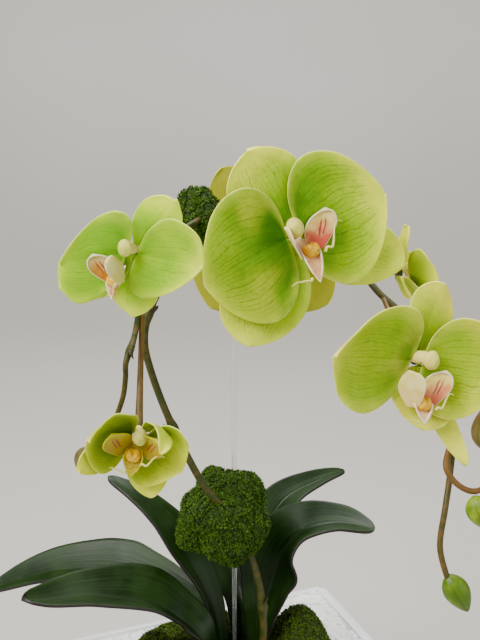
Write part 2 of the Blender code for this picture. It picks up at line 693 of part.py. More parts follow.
def build():
    clear_scene()
    plant = add_empty("plant")
    plant.rotation_euler = (0, 0, PLANT_TURN)
    plant.location = PLANT_AT + Vector((0, 0, POT_HEIGHT - PLANTED_HEIGHT))
    add_pot()
    add_filling(plant)
    add_moss_bed(plant)
    add_stake(plant)
    add_spike(plant)
    spike_way = clearance("spike_way", *main_spike_line(), plant)
    stake_way = clearance("stake_way", (STAKE_FOOT, STAKE_TOP), [STAKE_RADIUS] * 2, plant)
    add_tuft("moss_tuft_lower", TUFT_LOWER_AT, TUFT_LOWER_RADIUS, plant, (spike_way, stake_way))
    ways = [spike_way, stake_way, clearance("branch_way", *side_branch_line(), plant)]
    for flower in ("centre", "rear"):
        points = flower_stalk_line(flower, SPIKE_ROUTE, *SPIKE_STALKS[flower])
        ways.append(clearance(flower + "_way", points, [STALK_RADIUS] * len(points), plant))
    add_tuft("moss_tuft_upper", TUFT_UPPER_AT, TUFT_UPPER_RADIUS, plant, ways)
    for name, (route, widest, tilt) in LEAF_ROUTES.items():
        add_leaf(name, route, widest, tilt, plant)
    for name, (place, direction, length, radius) in BUDS.items():
        add_bud(name, place, direction, length, radius, plant)
    for flower in FLOWERS:
        add_flower(flower, plant)


build()
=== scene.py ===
"""A potted moth orchid: a white square planter filled with stone chips and moss, a rosette of
strap leaves, and one arching spike on a clear stake with green flowers and buds."""

import math

import bpy
from mathutils import Matrix, Vector, noise


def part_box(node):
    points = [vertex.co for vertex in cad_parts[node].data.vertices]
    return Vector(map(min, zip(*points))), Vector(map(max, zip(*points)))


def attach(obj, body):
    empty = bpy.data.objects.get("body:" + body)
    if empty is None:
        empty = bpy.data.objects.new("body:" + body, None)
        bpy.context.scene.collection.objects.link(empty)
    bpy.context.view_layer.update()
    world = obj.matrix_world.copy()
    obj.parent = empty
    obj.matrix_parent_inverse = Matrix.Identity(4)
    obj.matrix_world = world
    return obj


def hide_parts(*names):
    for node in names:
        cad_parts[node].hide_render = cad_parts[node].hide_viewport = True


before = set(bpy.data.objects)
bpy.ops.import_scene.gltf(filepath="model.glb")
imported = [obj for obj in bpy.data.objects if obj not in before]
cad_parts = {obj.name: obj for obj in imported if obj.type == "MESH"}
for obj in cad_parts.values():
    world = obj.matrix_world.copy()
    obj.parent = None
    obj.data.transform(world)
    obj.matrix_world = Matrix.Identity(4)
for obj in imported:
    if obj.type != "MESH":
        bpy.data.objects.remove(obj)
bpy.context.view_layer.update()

# ------------------------------------------------------------------ plant's place and camera
# The plant was set into its planter a little turned, so all that grows keeps to the plant's own
# frame. The camera stands in front of the flowers, just above them, and looks slightly down.
PLANT_PLACE = (0.006, 0.003, 0.0)
PLANT_TURN = math.radians(-21.5)
PLANT = Matrix.Translation(PLANT_PLACE) @ Matrix.Rotation(PLANT_TURN, 4, "Z")
EYE = Vector((-0.009, -0.534, 0.520))
LOOK_DOWN = math.radians(14)
SENSOR_WIDTH = 36.0
LENS = 50.6


def add_new(add, **settings):
    """Adds one object with everything else deselected, and returns it."""
    bpy.ops.object.select_all(action="DESELECT")
    add(**settings)
    return bpy.context.object


camera = add_new(bpy.ops.object.camera_add)
camera.name = "camera"
camera.matrix_world = (PLANT @ Matrix.Translation(EYE)
                       @ Matrix.Rotation(math.radians(90) - LOOK_DOWN, 4, "X"))
camera.data.sensor_width = SENSOR_WIDTH
camera.data.lens = LENS
camera.data.clip_start = 0.02
bpy.context.scene.camera = camera


# ------------------------------------------------------------------ studio
# A plain painted room corner: floor and wall are one sheet with a soft bend, its colour painted
# darker low and lighter high as painted light. It is lit by one large soft light above on the left,
# a weaker one on the right and one over the plant.
def tint(red, green, blue):
    """A shader colour from display values of 0 to 255."""
    shares = [value / 255 for value in (red, green, blue)]
    linear = [s / 12.92 if s <= 0.04045 else ((s + 0.055) / 1.055) ** 2.4 for s in shares]
    return (*linear, 1.0)


def new_material(name, **sockets):
    """A Principled material with its constant values set; returns it with its tree and shader."""
    made = bpy.data.materials.new(name)
    made.use_nodes = True
    shader = made.node_tree.nodes["Principled BSDF"]
    for key, value in sockets.items():
        shader.inputs[key.replace("_", " ")].default_value = value
    return made, made.node_tree, shader


def put(tree, kind, inputs, **settings):
    """Adds one shader node; each input is a link or a plain value."""
    made = tree.nodes.new("ShaderNode" + kind)
    for key, value in settings.items():
        setattr(made, key, value)
    for key, value in inputs.items():
        if isinstance(value, bpy.types.NodeSocket):
            tree.links.new(value, made.inputs[key])
        else:
            made.inputs[key].default_value = value
    return made


def reckon(tree, operation, first, second=0.0):
    return put(tree, "Math", {0: first, 1: second}, operation=operation).outputs[0]


def times(tree, first, second):
    return reckon(tree, "MULTIPLY", first, second)


def plus(tree, first, second):
    return reckon(tree, "ADD", first, second)


def rescale(tree, value, low, high, new_low=0.0, new_high=1.0):
    """Value from low to high, eased into new_low to new_high."""
    made = put(tree, "MapRange", {0: value, 1: low, 2: high, 3: new_low, 4: new_high},
               interpolation_type="SMOOTHSTEP")
    return made.outputs[0]


def dye(tree, share, first, second):
    """Second colour laid over the first by a share."""
    return put(tree, "Mix", {0: share, 6: first, 7: second}, data_type="RGBA").outputs[2]


def grades(tree, value, stops):
    """A colour ramp through (position, colour) stops."""
    made = put(tree, "ValToRGB", {0: value})
    elements = made.color_ramp.elements
    while len(elements) < len(stops):
        elements.new(0.5)
    for element, (position, colour) in zip(elements, stops):
        element.position = position
        element.color = colour
    return made.outputs[0]


def object_place(tree):
    return put(tree, "TexCoord", {}).outputs["Object"]


def object_noise(tree, scale, detail=4.0, roughness=0.55):
    return put(tree, "TexNoise", {"Vector": object_place(tree), "Scale": scale,
                                  "Detail": detail, "Roughness": roughness}).outputs["Fac"]


def pick_edges(piece, test):
    """From object mode, selects the edges whose two ends pass the test and opens edit mode."""
    for edge in piece.data.edges:
        edge.select = test(*(piece.data.vertices[i].co for i in edge.vertices))
    bpy.ops.object.mode_set(mode="EDIT")


ROOM_NEAR = -6.0
ROOM_WALL = 2.4
ROOM_HIGH = 4.0
ROOM_WIDE = 14.0
ROOM_BEND = 0.9
FLOOR_DROP = 0.0005

room = add_new(bpy.ops.mesh.primitive_plane_add, size=1.0)
room.name = "studio_room"
for vert in room.data.vertices:
    vert.co.x *= ROOM_WIDE
    vert.co.y = ROOM_NEAR if vert.co.y < 0 else ROOM_WALL
bpy.ops.object.mode_set(mode="EDIT")
bpy.ops.mesh.select_mode(type="EDGE")
bpy.ops.mesh.select_all(action="DESELECT")
bpy.ops.object.mode_set(mode="OBJECT")
pick_edges(room, lambda one, two: one.y > 0 and two.y > 0)
bpy.ops.mesh.extrude_region_move(TRANSFORM_OT_translate={"value": (0, 0, ROOM_HIGH)})
bpy.ops.object.mode_set(mode="OBJECT")
pick_edges(room, lambda one, two: min(one.y, two.y) > 0 and max(one.z, two.z) < 0.1)
bpy.ops.mesh.bevel(offset=ROOM_BEND, segments=16)
bpy.ops.object.mode_set(mode="OBJECT")
room.data.transform(Matrix.Translation((0, 0, -FLOOR_DROP)))
room.data.transform(PLANT.to_3x3().to_4x4())
room.data.shade_smooth()
paint, tree, shader = new_material("wall_paint_with_painted_light", Roughness=0.9)
# Painted light: the colour runs from darker at the floor to lighter up the wall.
high = put(tree, "SeparateXYZ", {0: object_place(tree)}).outputs[2]
cloudy = rescale(tree, object_noise(tree, 1.2, 3.0), 0.3, 0.7, -0.08, 0.08)
high = plus(tree, rescale(tree, high, 0.0, 0.75), cloudy)
tree.links.new(dye(tree, high, tint(182, 179, 172), tint(212, 209, 205)),
               shader.inputs["Base Color"])
room.data.materials.append(paint)


def soft_light(name, place, watts, size, warmth, target=(0.0, -0.05, 0.36)):
    """A square soft light in the plant's frame, aimed at the flowers unless told otherwise."""
    lamp = add_new(bpy.ops.object.light_add, type="AREA")
    lamp.name = name
    lamp.data.energy = watts
    lamp.data.size = size
    lamp.data.color = warmth
    place = Vector(place)
    aim = (Vector(target) - place).to_track_quat("-Z", "Y")
    lamp.matrix_world = PLANT @ Matrix.Translation(place) @ aim.to_matrix().to_4x4()


soft_light("key_light", (-0.85, -0.75, 1.30), 32.0, 0.8, (1.0, 0.98, 0.95))
soft_light("fill_light", (1.20, -0.90, 0.75), 9.0, 1.2, (0.97, 0.98, 1.0))
soft_light("top_light", (0.10, 0.35, 1.45), 19.0, 0.9, (1.0, 1.0, 1.0))
soft_light("wall_light", (0.10, 0.70, 2.60), 34.0, 1.4, (1.0, 0.99, 0.97), (0.05, 2.40, 1.05))
sky = bpy.data.worlds.new("studio_sky")
sky.use_nodes = True
sky.node_tree.nodes["Background"].inputs[0].default_value = tint(222, 220, 216)
sky.node_tree.nodes["Background"].inputs[1].default_value = 0.80
bpy.context.scene.world = sky


# ------------------------------------------------------------------ planter
# A square cachepot of slip-cast stoneware with a thick white glaze, rounded corners, a softly
# rounded rim and a shadow gap round its foot. The chips lie just under the rim.
def edit(piece):
    """Makes one piece the only selected one and opens it in edit mode with all selected."""
    bpy.ops.object.select_all(action="DESELECT")
    piece.select_set(True)
    bpy.context.view_layer.objects.active = piece
    bpy.ops.object.mode_set(mode="EDIT")
    bpy.ops.mesh.select_all(action="SELECT")


def close_edit():
    bpy.ops.object.mode_set(mode="OBJECT")


def pick_faces(piece, test):
    """In edit mode, selects just the faces whose centre and normal pass the test."""
    bpy.ops.mesh.select_mode(type="FACE")
    bpy.ops.mesh.select_all(action="DESELECT")
    close_edit()
    for face in piece.data.polygons:
        face.select = bool(test(face.center, face.normal))
    bpy.ops.object.mode_set(mode="EDIT")


def apply_modifier(piece, kind, **settings):
    bpy.context.view_layer.objects.active = piece
    made = piece.modifiers.new(kind.lower(), kind)
    for key, value in settings.items():
        setattr(made, key, value)
    bpy.ops.object.modifier_apply(modifier=made.name)


def emboss(tree, shader, height, strength, distance):
    """Bump from a height that feeds the shader's normal."""
    bump = put(tree, "Bump", {"Height": height, "Strength": strength, "Distance": distance})
    tree.links.new(bump.outputs[0], shader.inputs["Normal"])


def colour_in(tree, shader, colour, cloud=None, rough=(0.0, 0.0)):
    """Feeds the colour, and a roughness that drifts with a cloudy pattern if one is given."""
    tree.links.new(colour, shader.inputs["Base Color"])
    if cloud is not None:
        tree.links.new(rescale(tree, cloud, 0.3, 0.7, *rough), shader.inputs["Roughness"])


def finish_piece(piece, name, material, slot, *nodes):
    """Names the piece, gives it its material, and lets it ride and stand for its CAD nodes."""
    piece.name = name
    piece.data.materials.clear()
    piece.data.materials.append(material)
    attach(piece, "root")
    if nodes:
        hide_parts(*nodes)


pot_low, pot_high = (Vector(corner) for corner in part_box("pot"))
POT_WALL = 0.007
POT_FLOOR = 0.009
POT_FOOT = 0.004
POT_CORNER = 0.012
FOOT_INSET = 0.005
LIP_ROUNDING = 0.0013

pot = add_new(bpy.ops.mesh.primitive_cube_add, size=1.0, location=(pot_low + pot_high) / 2)
pot.scale = pot_high - pot_low
bpy.ops.object.transform_apply(location=True, rotation=False, scale=True)
pick_edges(pot, lambda one, two: abs(one.z - two.z) > 0.05)
bpy.ops.mesh.select_mode(type="EDGE")
bpy.ops.mesh.bevel(offset=POT_CORNER, segments=8)
pick_faces(pot, lambda centre, normal: normal.z > 0.9)
bpy.ops.mesh.inset(thickness=POT_WALL)
bpy.ops.mesh.extrude_region_move(
    TRANSFORM_OT_translate={"value": (0, 0, POT_FLOOR + pot_low.z - pot_high.z)})
pick_faces(pot, lambda centre, normal: normal.z < -0.9 and centre.z < pot_low.z + 0.001)
bpy.ops.mesh.inset(thickness=FOOT_INSET)
bpy.ops.mesh.extrude_region_move(TRANSFORM_OT_translate={"value": (0, 0, POT_FOOT)})
close_edit()
apply_modifier(pot, "BEVEL", width=LIP_ROUNDING, segments=3, limit_method="ANGLE",
               angle_limit=math.radians(40))
pot.data.shade_smooth()
pot.data.set_sharp_from_angle(angle=math.radians(50))

glaze, tree, shader = new_material("white_glaze", Coat_Weight=0.6, Coat_Roughness=0.06, IOR=1.5)
pooled = rescale(tree, object_noise(tree, 14.0, 3.0), 0.35, 0.75)
colour_in(tree, shader, dye(tree, pooled, tint(245, 246, 248), tint(238, 240, 241)),
          object_noise(tree, 55.0), (0.20, 0.32))
emboss(tree, shader, object_noise(tree, 320.0, 2.0), 0.05, 0.0004)
finish_piece(pot, "planter_shell", glaze, "white_glaze", "pot")


# ------------------------------------------------------------------ planting foam
# The block of dark open-celled foam that holds the roots and the stake, hidden under the chips.
def repaint(node, material):
    """Gives a CAD node that keeps its own shape its material."""
    for material_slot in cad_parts[node].material_slots:
        material_slot.material = material


def cell_distance(tree, scale):
    return put(tree, "TexVoronoi", {"Vector": object_place(tree),
                                    "Scale": scale}).outputs["Distance"]


foam_grain, tree, shader = new_material("planting_foam", Roughness=0.95)
cells = cell_distance(tree, 900.0)
colour_in(tree, shader, dye(tree, cells, tint(58, 52, 36), tint(96, 88, 62)))
emboss(tree, shader, cells, 0.6, 0.0006)
repaint("growing_medium", foam_grain)


# ------------------------------------------------------------------ white stone chips
# A top dressing of tumbled white marble chips, 4 to 8 mm across, spread level from wall to wall.
def many_copies(kinds, places, name):
    """One mesh of many placed copies; kinds are (points, faces), places (kind number, matrix)."""
    points, faces = [], []
    for number, place in places:
        first = len(points)
        points += [place @ point for point in kinds[number][0]]
        faces += [tuple(first + i for i in face) for face in kinds[number][1]]
    mesh = bpy.data.meshes.new(name)
    mesh.from_pydata(points, [], faces)
    mesh.update()
    made = bpy.data.objects.new(name, mesh)
    bpy.context.collection.objects.link(made)
    return made


def chance(seed):
    """A repeatable stream of numbers from 0 to 1."""
    state = seed * 7919 + 12345
    while True:
        state = (state * 1103515245 + 12345) % 2147483648
        yield state / 2147483648


def tumble(draw, size):
    """A random turn with a size, as a matrix."""
    turn = Matrix.Rotation(next(draw) * math.tau, 4, "Z")
    lean = Matrix.Rotation(next(draw) * math.tau, 4, "X")
    return turn @ lean @ Matrix.Diagonal((*size, 1.0))


gravel_low, gravel_high = (Vector(corner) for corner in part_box("gravel"))
CHIP_GAP = 0.0050
CHIP_SINK = 0.0022
CHIP_CORNER = 0.0035
CHIP_KINDS = 5

chip_kinds = []
for kind in range(CHIP_KINDS):
    chip = add_new(bpy.ops.mesh.primitive_ico_sphere_add, subdivisions=2, radius=1.0)
    for vert in chip.data.vertices:
        vert.co *= 1 + 0.45 * noise.noise(vert.co * 1.1 + Vector((kind * 9.0, 0, 0)))
    chip_kinds.append(([vert.co.copy() for vert in chip.data.vertices],
                       [tuple(face.vertices) for face in chip.data.polygons]))
    bpy.data.objects.remove(chip)

draw = chance(3)
chip_places = []
steps = int((gravel_high.x - gravel_low.x - CHIP_GAP) / CHIP_GAP)
for row in range(steps + 1):
    for column in range(steps + 1):
        spot = Vector((gravel_low.x + CHIP_GAP * (column + 0.5 + 0.8 * (next(draw) - 0.5)),
                       gravel_low.y + CHIP_GAP * (row + 0.5 + 0.8 * (next(draw) - 0.5)),
                       gravel_high.z - CHIP_SINK + 0.0016 * next(draw)))
        wide = 0.0024 + 0.0014 * next(draw)
        inside = min(spot.x - gravel_low.x, gravel_high.x - spot.x,
                     spot.y - gravel_low.y, gravel_high.y - spot.y)
        corner = min(gravel_high.x - abs(spot.x), gravel_high.y - abs(spot.y))
        in_corner = corner < CHIP_CORNER and abs(abs(spot.x) - abs(spot.y)) < 0.003
        if inside < wide * 1.1 or in_corner:
            continue
        size = (wide, wide * (0.75 + 0.3 * next(draw)), wide * (0.6 + 0.3 * next(draw)))
        kind = int(next(draw) * CHIP_KINDS)
        chip_places.append((kind, Matrix.Translation(spot) @ tumble(draw, size)))
chips = many_copies(chip_kinds, chip_places, "chips")
chips.data.shade_smooth()

marble, tree, shader = new_material("white_marble", Roughness=0.55)
island = put(tree, "NewGeometry", {}).outputs["Random Per Island"]
grey_vein = rescale(tree, object_noise(tree, 180.0, 6.0, 0.65), 0.45, 0.8)
stone = grades(tree, island, ((0.0, tint(240, 240, 239)), (0.5, tint(248, 248, 247)),
                              (1.0, tint(232, 230, 226))))
grey_share = times(tree, grey_vein, 0.22)
colour_in(tree, shader, dye(tree, grey_share, stone, tint(190, 189, 186)))
emboss(tree, shader, object_noise(tree, 900.0, 5.0), 0.25, 0.0004)
finish_piece(chips, "stone_chips", marble, "white_gravel")
bed_sand, tree, shader = new_material("chip_bed", Roughness=0.85)
grain = object_noise(tree, 420.0, 6.0)
colour_in(tree, shader, dye(tree, grain, tint(214, 213, 210), tint(244, 243, 241)))
emboss(tree, shader, grain, 0.6, 0.001)
repaint("gravel", bed_sand)


# ------------------------------------------------------------------ moss
# Live cushion moss in loose mounds round the crown of the plant, and two balls of the same moss
# tied where the spike meets its stake. Each is a lumpy cushion grown over with tiny sprigs.
MOSS_CENTRE = Vector((-0.018, 0.008, 0.0))
MOSS_RADIUS = 0.078
MOSS_EDGE = 0.004
MOSS_HILL = 0.024
# across, back, radius and rise of each mound
MOSS_CLUMPS = (
    (0.036, 0.014, 0.027, 0.038),
    (-0.030, -0.036, 0.021, 0.038),
    (-0.076, 0.004, 0.024, 0.034),
    (0.002, -0.046, 0.026, 0.018),
    (0.020, 0.054, 0.022, 0.014),
    (-0.030, 0.062, 0.020, 0.010),
)
CROWN = Vector((-0.009, 0.008, 0.0))
CROWN_DIP = 0.027
SPRIG_SIZE = 0.0021
SPRIG_SINK = 0.0003
BED_SPACING = 0.0019
TUFT_SPACING = 0.0016
BED_STEPS = 90


def moss_height(x, y, reach):
    """Height of the moss over the chips, reach being 0 inside to 1 at the rim."""
    height = MOSS_EDGE + MOSS_HILL * max(0.0, 1 - reach ** 2) ** 0.8
    for clump_x, clump_y, radius, rise in MOSS_CLUMPS:
        away = math.hypot(x - clump_x, y - clump_y) / radius
        if away < 1:
            height += rise * (1 - away ** 2) ** 0.75 * (1 - reach ** 6)
    lumps = noise.noise(Vector((x, y, 0.0)) * 70)
    small = noise.noise(Vector((x, y, 1.0)) * 260)
    return height + (0.003 * lumps + 0.0012 * small) * (1 - reach ** 4)


def sprig_pattern(leaflets, lean):
    """A rosette of narrow pointed leaflets round a short stem, height 1."""
    points, faces = [], []
    for i in range(leaflets):
        angle = math.tau * i / leaflets + 0.4 * (i % 2)
        out = Vector((math.cos(angle), math.sin(angle), 0.0))
        side = Vector((-math.sin(angle), math.cos(angle), 0.0))
        first = len(points)
        points += [side * 0.10 - out * 0.05, -side * 0.10 - out * 0.05,
                   out * 0.35 * lean - side * 0.15 + Vector((0, 0, 0.55)),
                   out * 0.35 * lean + side * 0.15 + Vector((0, 0, 0.55)),
                   out * 0.85 * lean + Vector((0, 0, 1.0 - 0.25 * lean))]
        faces += [(first, first + 1, first + 2, first + 3), (first + 3, first + 2, first + 4)]
    return points, faces


sprig_kinds = [sprig_pattern(5, 0.7), sprig_pattern(6, 1.0), sprig_pattern(4, 0.4)]


def grow_sprigs(base, spacing, draw):
    """Sprigs over the faces of a cushion, standing along its normals."""
    places = []
    for face in base.data.polygons:
        want = face.area / spacing ** 2
        count = int(want) + (next(draw) < want - int(want))
        corners = [base.data.vertices[i].co for i in face.vertices]
        for _ in range(count):
            shares = [next(draw) + 0.05 for _ in corners]
            spot = sum((corner * share for corner, share in zip(corners, shares)), Vector())
            spot /= sum(shares)
            lean = Vector((next(draw) - 0.5, next(draw) - 0.5, next(draw) - 0.3)) * 1.1
            rise = (face.normal + lean).normalized().to_track_quat("Z", "Y").to_matrix().to_4x4()
            size = SPRIG_SIZE * (0.7 + 0.7 * next(draw))
            spin = Matrix.Rotation(next(draw) * math.tau, 4, "Z")
            kind = int(next(draw) * len(sprig_kinds))
            places.append((kind, Matrix.Translation(spot - face.normal * SPRIG_SINK) @ rise
                           @ spin @ Matrix.Diagonal((size, size, size, 1.0))))
    made = many_copies(sprig_kinds, places, "sprigs")
    fresh = made.data.attributes.new("fresh", "FLOAT", "POINT")
    count = 0
    for number, _ in places:
        for i in range(len(sprig_kinds[number][0])):
            fresh.data[count].value = (0.0, 0.0, 0.5, 0.5, 1.0)[i % 5]
            count += 1
    return made


def stored(tree, name):
    """A value that was kept on the piece's points."""
    return put(tree, "Attribute", {}, attribute_name=name).outputs["Fac"]


def moss_material(name, deep, young):
    """Moss green from dark in the gaps to fresh at the leaflet tips, in uneven patches."""
    made, tree, shader = new_material(name, Roughness=0.8, Specular_IOR_Level=0.25)
    patches = rescale(tree, object_noise(tree, 60.0, 3.0), 0.35, 0.7)
    tips = stored(tree, "fresh")
    island = put(tree, "NewGeometry", {}).outputs["Random Per Island"]
    bright = times(tree, tips, rescale(tree, island, 0.0, 1.0, 0.35, 1.0))
    under = dye(tree, patches, deep, tint(44, 62, 14))
    colour_in(tree, shader, dye(tree, bright, under, young))
    emboss(tree, shader, object_noise(tree, 1400.0, 4.0), 0.5, 0.0006)
    return made


moss_green = moss_material("cushion_moss", tint(26, 44, 2), tint(98, 130, 22))
tuft_green = moss_material("ball_moss", tint(24, 44, 2), tint(80, 118, 10))

# The bed is a square grid pressed into a disc, then raised into its mounds.
moss_bed = add_new(bpy.ops.mesh.primitive_grid_add, x_subdivisions=BED_STEPS,
                   y_subdivisions=BED_STEPS, size=2.0)
bed_top = gravel_high.z + 0.0004
for vert in moss_bed.data.vertices:
    x, y = vert.co.x, vert.co.y
    reach = max(abs(x), abs(y))
    angle = math.atan2(y, x)
    rim = MOSS_CENTRE + Vector((math.cos(angle), math.sin(angle), 0.0)) * MOSS_RADIUS * (
        1 + 0.08 * math.sin(3 * angle + 1))
    spot = CROWN.lerp(rim, reach)
    outward = min(1.0, (spot - CROWN).length / CROWN_DIP)
    spot.z = bed_top + moss_height(spot.x, spot.y, reach) * (0.35 + 0.65 * outward ** 3)
    if reach > 0.999:
        spot.z = bed_top
    vert.co = PLANT @ spot
moss_bed.data.shade_smooth()
sprigs = grow_sprigs(moss_bed, BED_SPACING, chance(11))
finish_piece(moss_bed, "moss_mounds", moss_green, "moss", "moss_bed")
finish_piece(sprigs, "moss_mound_sprigs", moss_green, "moss")

TUFTS = {
    "moss_tuft_lower": (Vector((-0.0200, 0.0010, 0.2560)), 0.029),
    "moss_tuft_upper": (Vector((-0.0330, 0.0035, 0.4475)), 0.0185),
}
TUFT_LUMPS = 0.36
for number, (node, (centre, radius)) in enumerate(TUFTS.items()):
    ball = add_new(bpy.ops.mesh.primitive_ico_sphere_add, subdivisions=5, radius=radius)
    for vert in ball.data.vertices:
        lump = noise.noise(vert.co * 1.25 / radius + centre * 40)
        clods = noise.noise(vert.co * 160.0)
        vert.co *= 1 + TUFT_LUMPS * lump + 0.07 * clods - 0.03
        vert.co = PLANT @ (vert.co + centre)
    ball.data.shade_smooth()
    sprigs = grow_sprigs(ball, TUFT_SPACING, chance(20 + number))
    finish_piece(ball, node + "_cushion", tuft_green, "moss", node)
    finish_piece(sprigs, node + "_sprigs", tuft_green, "moss")


# ------------------------------------------------------------------ stake
# A straight clear acrylic rod with a softened top end, pushed into the foam behind the spike.
STAKE_FOOT = Vector((-0.0124, 0.0138, 0.040))
STAKE_TOP = Vector((-0.0133, 0.0205, 0.456))
STAKE_RADIUS = 0.0016
STAKE_SOFTENING = 0.0007

stake = add_new(bpy.ops.mesh.primitive_cylinder_add, vertices=24, radius=STAKE_RADIUS,
                depth=(STAKE_TOP - STAKE_FOOT).length)
edit(stake)
pick_faces(stake, lambda centre, normal: abs(normal.z) > 0.9)
bpy.ops.mesh.bevel(offset=STAKE_SOFTENING, segments=4)
close_edit()
lie = (STAKE_TOP - STAKE_FOOT).to_track_quat("Z", "Y").to_matrix().to_4x4()
stake.data.transform(PLANT @ Matrix.Translation((STAKE_TOP + STAKE_FOOT) / 2) @ lie)
stake.data.shade_smooth()
acrylic, tree, shader = new_material("clear_acrylic", Transmission_Weight=0.92, IOR=1.49,
                                     Specular_IOR_Level=0.6)
scratches = object_noise(tree, 260.0, 5.0)
colour_in(tree, shader, dye(tree, scratches, tint(238, 243, 243), tint(248, 250, 250)))
tree.links.new(rescale(tree, scratches, 0.3, 0.8, 0.03, 0.14), shader.inputs["Roughness"])
finish_piece(stake, "clear_stake", acrylic, "clear_acrylic", "stake")


# ------------------------------------------------------------------ spike, branch and flower stalks
# The flower spike rises through the lower moss ball, bends over at the upper one and hangs down
# on the right; a side branch leaves it on the left. Both are firm olive stalks with swollen
# joints, each joint with a small dry bract, and each flower has its own thinner reddish stalk.
SPIKE_ROUTE = (
    (0.0030, -0.0050, 0.1130), (0.0055, -0.0085, 0.1500), (0.0060, -0.0108, 0.1938),
    (0.0000, -0.0122, 0.2280), (-0.0090, -0.0140, 0.2500), (-0.0202, -0.0168, 0.2702),
    (-0.0337, -0.0181, 0.2898), (-0.0514, -0.0208, 0.3294),
    (-0.0620, -0.0250, 0.3632), (-0.0650, -0.0240, 0.3828),
    (-0.0603, -0.0180, 0.4015), (-0.0455, -0.0080, 0.4249), (-0.0255, -0.0040, 0.4478),
    (-0.0032, -0.0110, 0.4598), (0.0190, -0.0290, 0.4600), (0.0390, -0.0430, 0.4480),
    (0.0535, -0.0560, 0.4320), (0.0639, -0.0695, 0.4194), (0.0770, -0.0825, 0.4080),
    (0.0890, -0.0935, 0.3880), (0.0972, -0.0985, 0.3700), (0.0980, -0.1095, 0.3545),
    (0.0946, -0.1220, 0.3395), (0.0908, -0.1314, 0.3243), (0.0879, -0.1373, 0.3088),
    (0.0900, -0.1420, 0.2975), (0.0922, -0.1428, 0.2925),
)
SPIKE_JOINTS = (0.085, 0.225, 0.300, 0.405, 0.462, 0.520, 0.560)
SPIKE_RADII = (0.0027, 0.0015)
BRANCH_ROUTE = (
    (-0.0300, -0.0080, 0.4510), (-0.0427, -0.0321, 0.4457), (-0.0536, -0.0501, 0.4353),
    (-0.0590, -0.0660, 0.4245), (-0.0622, -0.0731, 0.4094), (-0.0640, -0.0831, 0.3980),
    (-0.0670, -0.0948, 0.3885), (-0.0680, -0.0915, 0.3788), (-0.0700, -0.0915, 0.3672),
    (-0.0760, -0.0920, 0.3530), (-0.0845, -0.0930, 0.3440),
)
BRANCH_JOINTS = (0.044, 0.078, 0.112)
BRANCH_RADII = (0.0019, 0.0013)
FAR_STALK_ROUTE = (
    (0.0978, -0.1115, 0.3535), (0.0925, -0.1235, 0.3505), (0.0908, -0.1289, 0.3450),
    (0.0952, -0.1309, 0.3384), (0.1027, -0.1301, 0.3337), (0.1097, -0.1275, 0.3339),
    (0.1150, -0.1230, 0.3400), (0.1152, -0.1192, 0.3500),
)
JOINT_SWELLING = 0.45
JOINT_LENGTH = 0.0045
STALK_RADIUS = 0.0015
STALK_STEP = 0.0022
ROUTE_PARTS = 16
BRACT_WALL = 0.00035
BRACT_LENGTH = 0.0075
TINY = 1e-6


def smooth_route(points, step):
    """Catmull-Rom curve through the points, walked in even steps."""
    points = [Vector(point) for point in points]
    ends = [2 * points[0] - points[1]] + points + [2 * points[-1] - points[-2]]
    fine = []
    for before, start, end, after in zip(ends, ends[1:], ends[2:], ends[3:]):
        for part in range(ROUTE_PARTS):
            u = part / ROUTE_PARTS
            fine.append(0.5 * (2 * start + (end - before) * u
                               + (2 * before - 5 * start + 4 * end - after) * u ** 2
                               + (3 * start - before - 3 * end + after) * u ** 3))
    fine.append(points[-1])
    lengths = [0.0]
    for start, end in zip(fine, fine[1:]):
        lengths.append(lengths[-1] + (end - start).length)
    count = max(2, round(lengths[-1] / step))
    stops, i = [], 1
    for number in range(count + 1):
        distance = lengths[-1] * number / count
        while i < len(fine) - 1 and lengths[i] < distance:
            i += 1
        share = (distance - lengths[i - 1]) / max(lengths[i] - lengths[i - 1], 1e-9)
        stops.append(fine[i - 1].lerp(fine[i], min(1.0, share)))
    return stops


def stalk_piece(name, points, radii):
    """A round stalk: a bevelled curve turned into a mesh, with its length along it kept as V."""
    curve = bpy.data.curves.new(name, "CURVE")
    curve.dimensions = "3D"
    curve.bevel_depth = 1.0
    curve.bevel_resolution = 4
    curve.use_fill_caps = True
    spline = curve.splines.new("POLY")
    spline.points.add(len(points) - 1)
    for knot, point, radius in zip(spline.points, points, radii):
        knot.co = (*(PLANT @ Vector(point)), 1.0)
        knot.radius = radius
    bpy.ops.object.select_all(action="DESELECT")
    made = bpy.data.objects.new(name, curve)
    bpy.context.collection.objects.link(made)
    made.select_set(True)
    bpy.context.view_layer.objects.active = made
    bpy.ops.object.convert(target="MESH")
    made.data.shade_smooth()
    return made


def joined(first, *others):
    bpy.ops.object.select_all(action="DESELECT")
    for piece in (first, *others):
        piece.select_set(True)
    bpy.context.view_layer.objects.active = first
    bpy.ops.object.join()
    return first


def swollen(points, foot, tip, joints):
    """Radius along a stalk: a taper with an eased swelling at each joint."""
    radii, length = [], 0.0
    for i, point in enumerate(points):
        if i:
            length += (Vector(point) - Vector(points[i - 1])).length
        share = i / (len(points) - 1)
        near = max([math.exp(-((length - joint) / JOINT_LENGTH) ** 2) for joint in joints] or [0])
        radii.append((foot + (tip - foot) * share) * (1 + JOINT_SWELLING * near))
    return radii


def paint_along(piece, centres, values, name):
    """Gives each vertex the value of the nearest point of a route, as an attribute."""
    layer = piece.data.attributes.new(name, "FLOAT", "POINT")
    places = [PLANT @ Vector(centre) for centre in centres]
    for i, vert in enumerate(piece.data.vertices):
        nearest = min(range(len(places)), key=lambda k: (places[k] - vert.co).length_squared)
        layer.data[i].value = values[nearest]


def new_grid(columns, rows):
    """A flat grid, selected alone; x of -1 to 1 runs across the blade and y along it."""
    return add_new(bpy.ops.mesh.primitive_grid_add, x_subdivisions=columns,
                   y_subdivisions=rows, size=2.0)


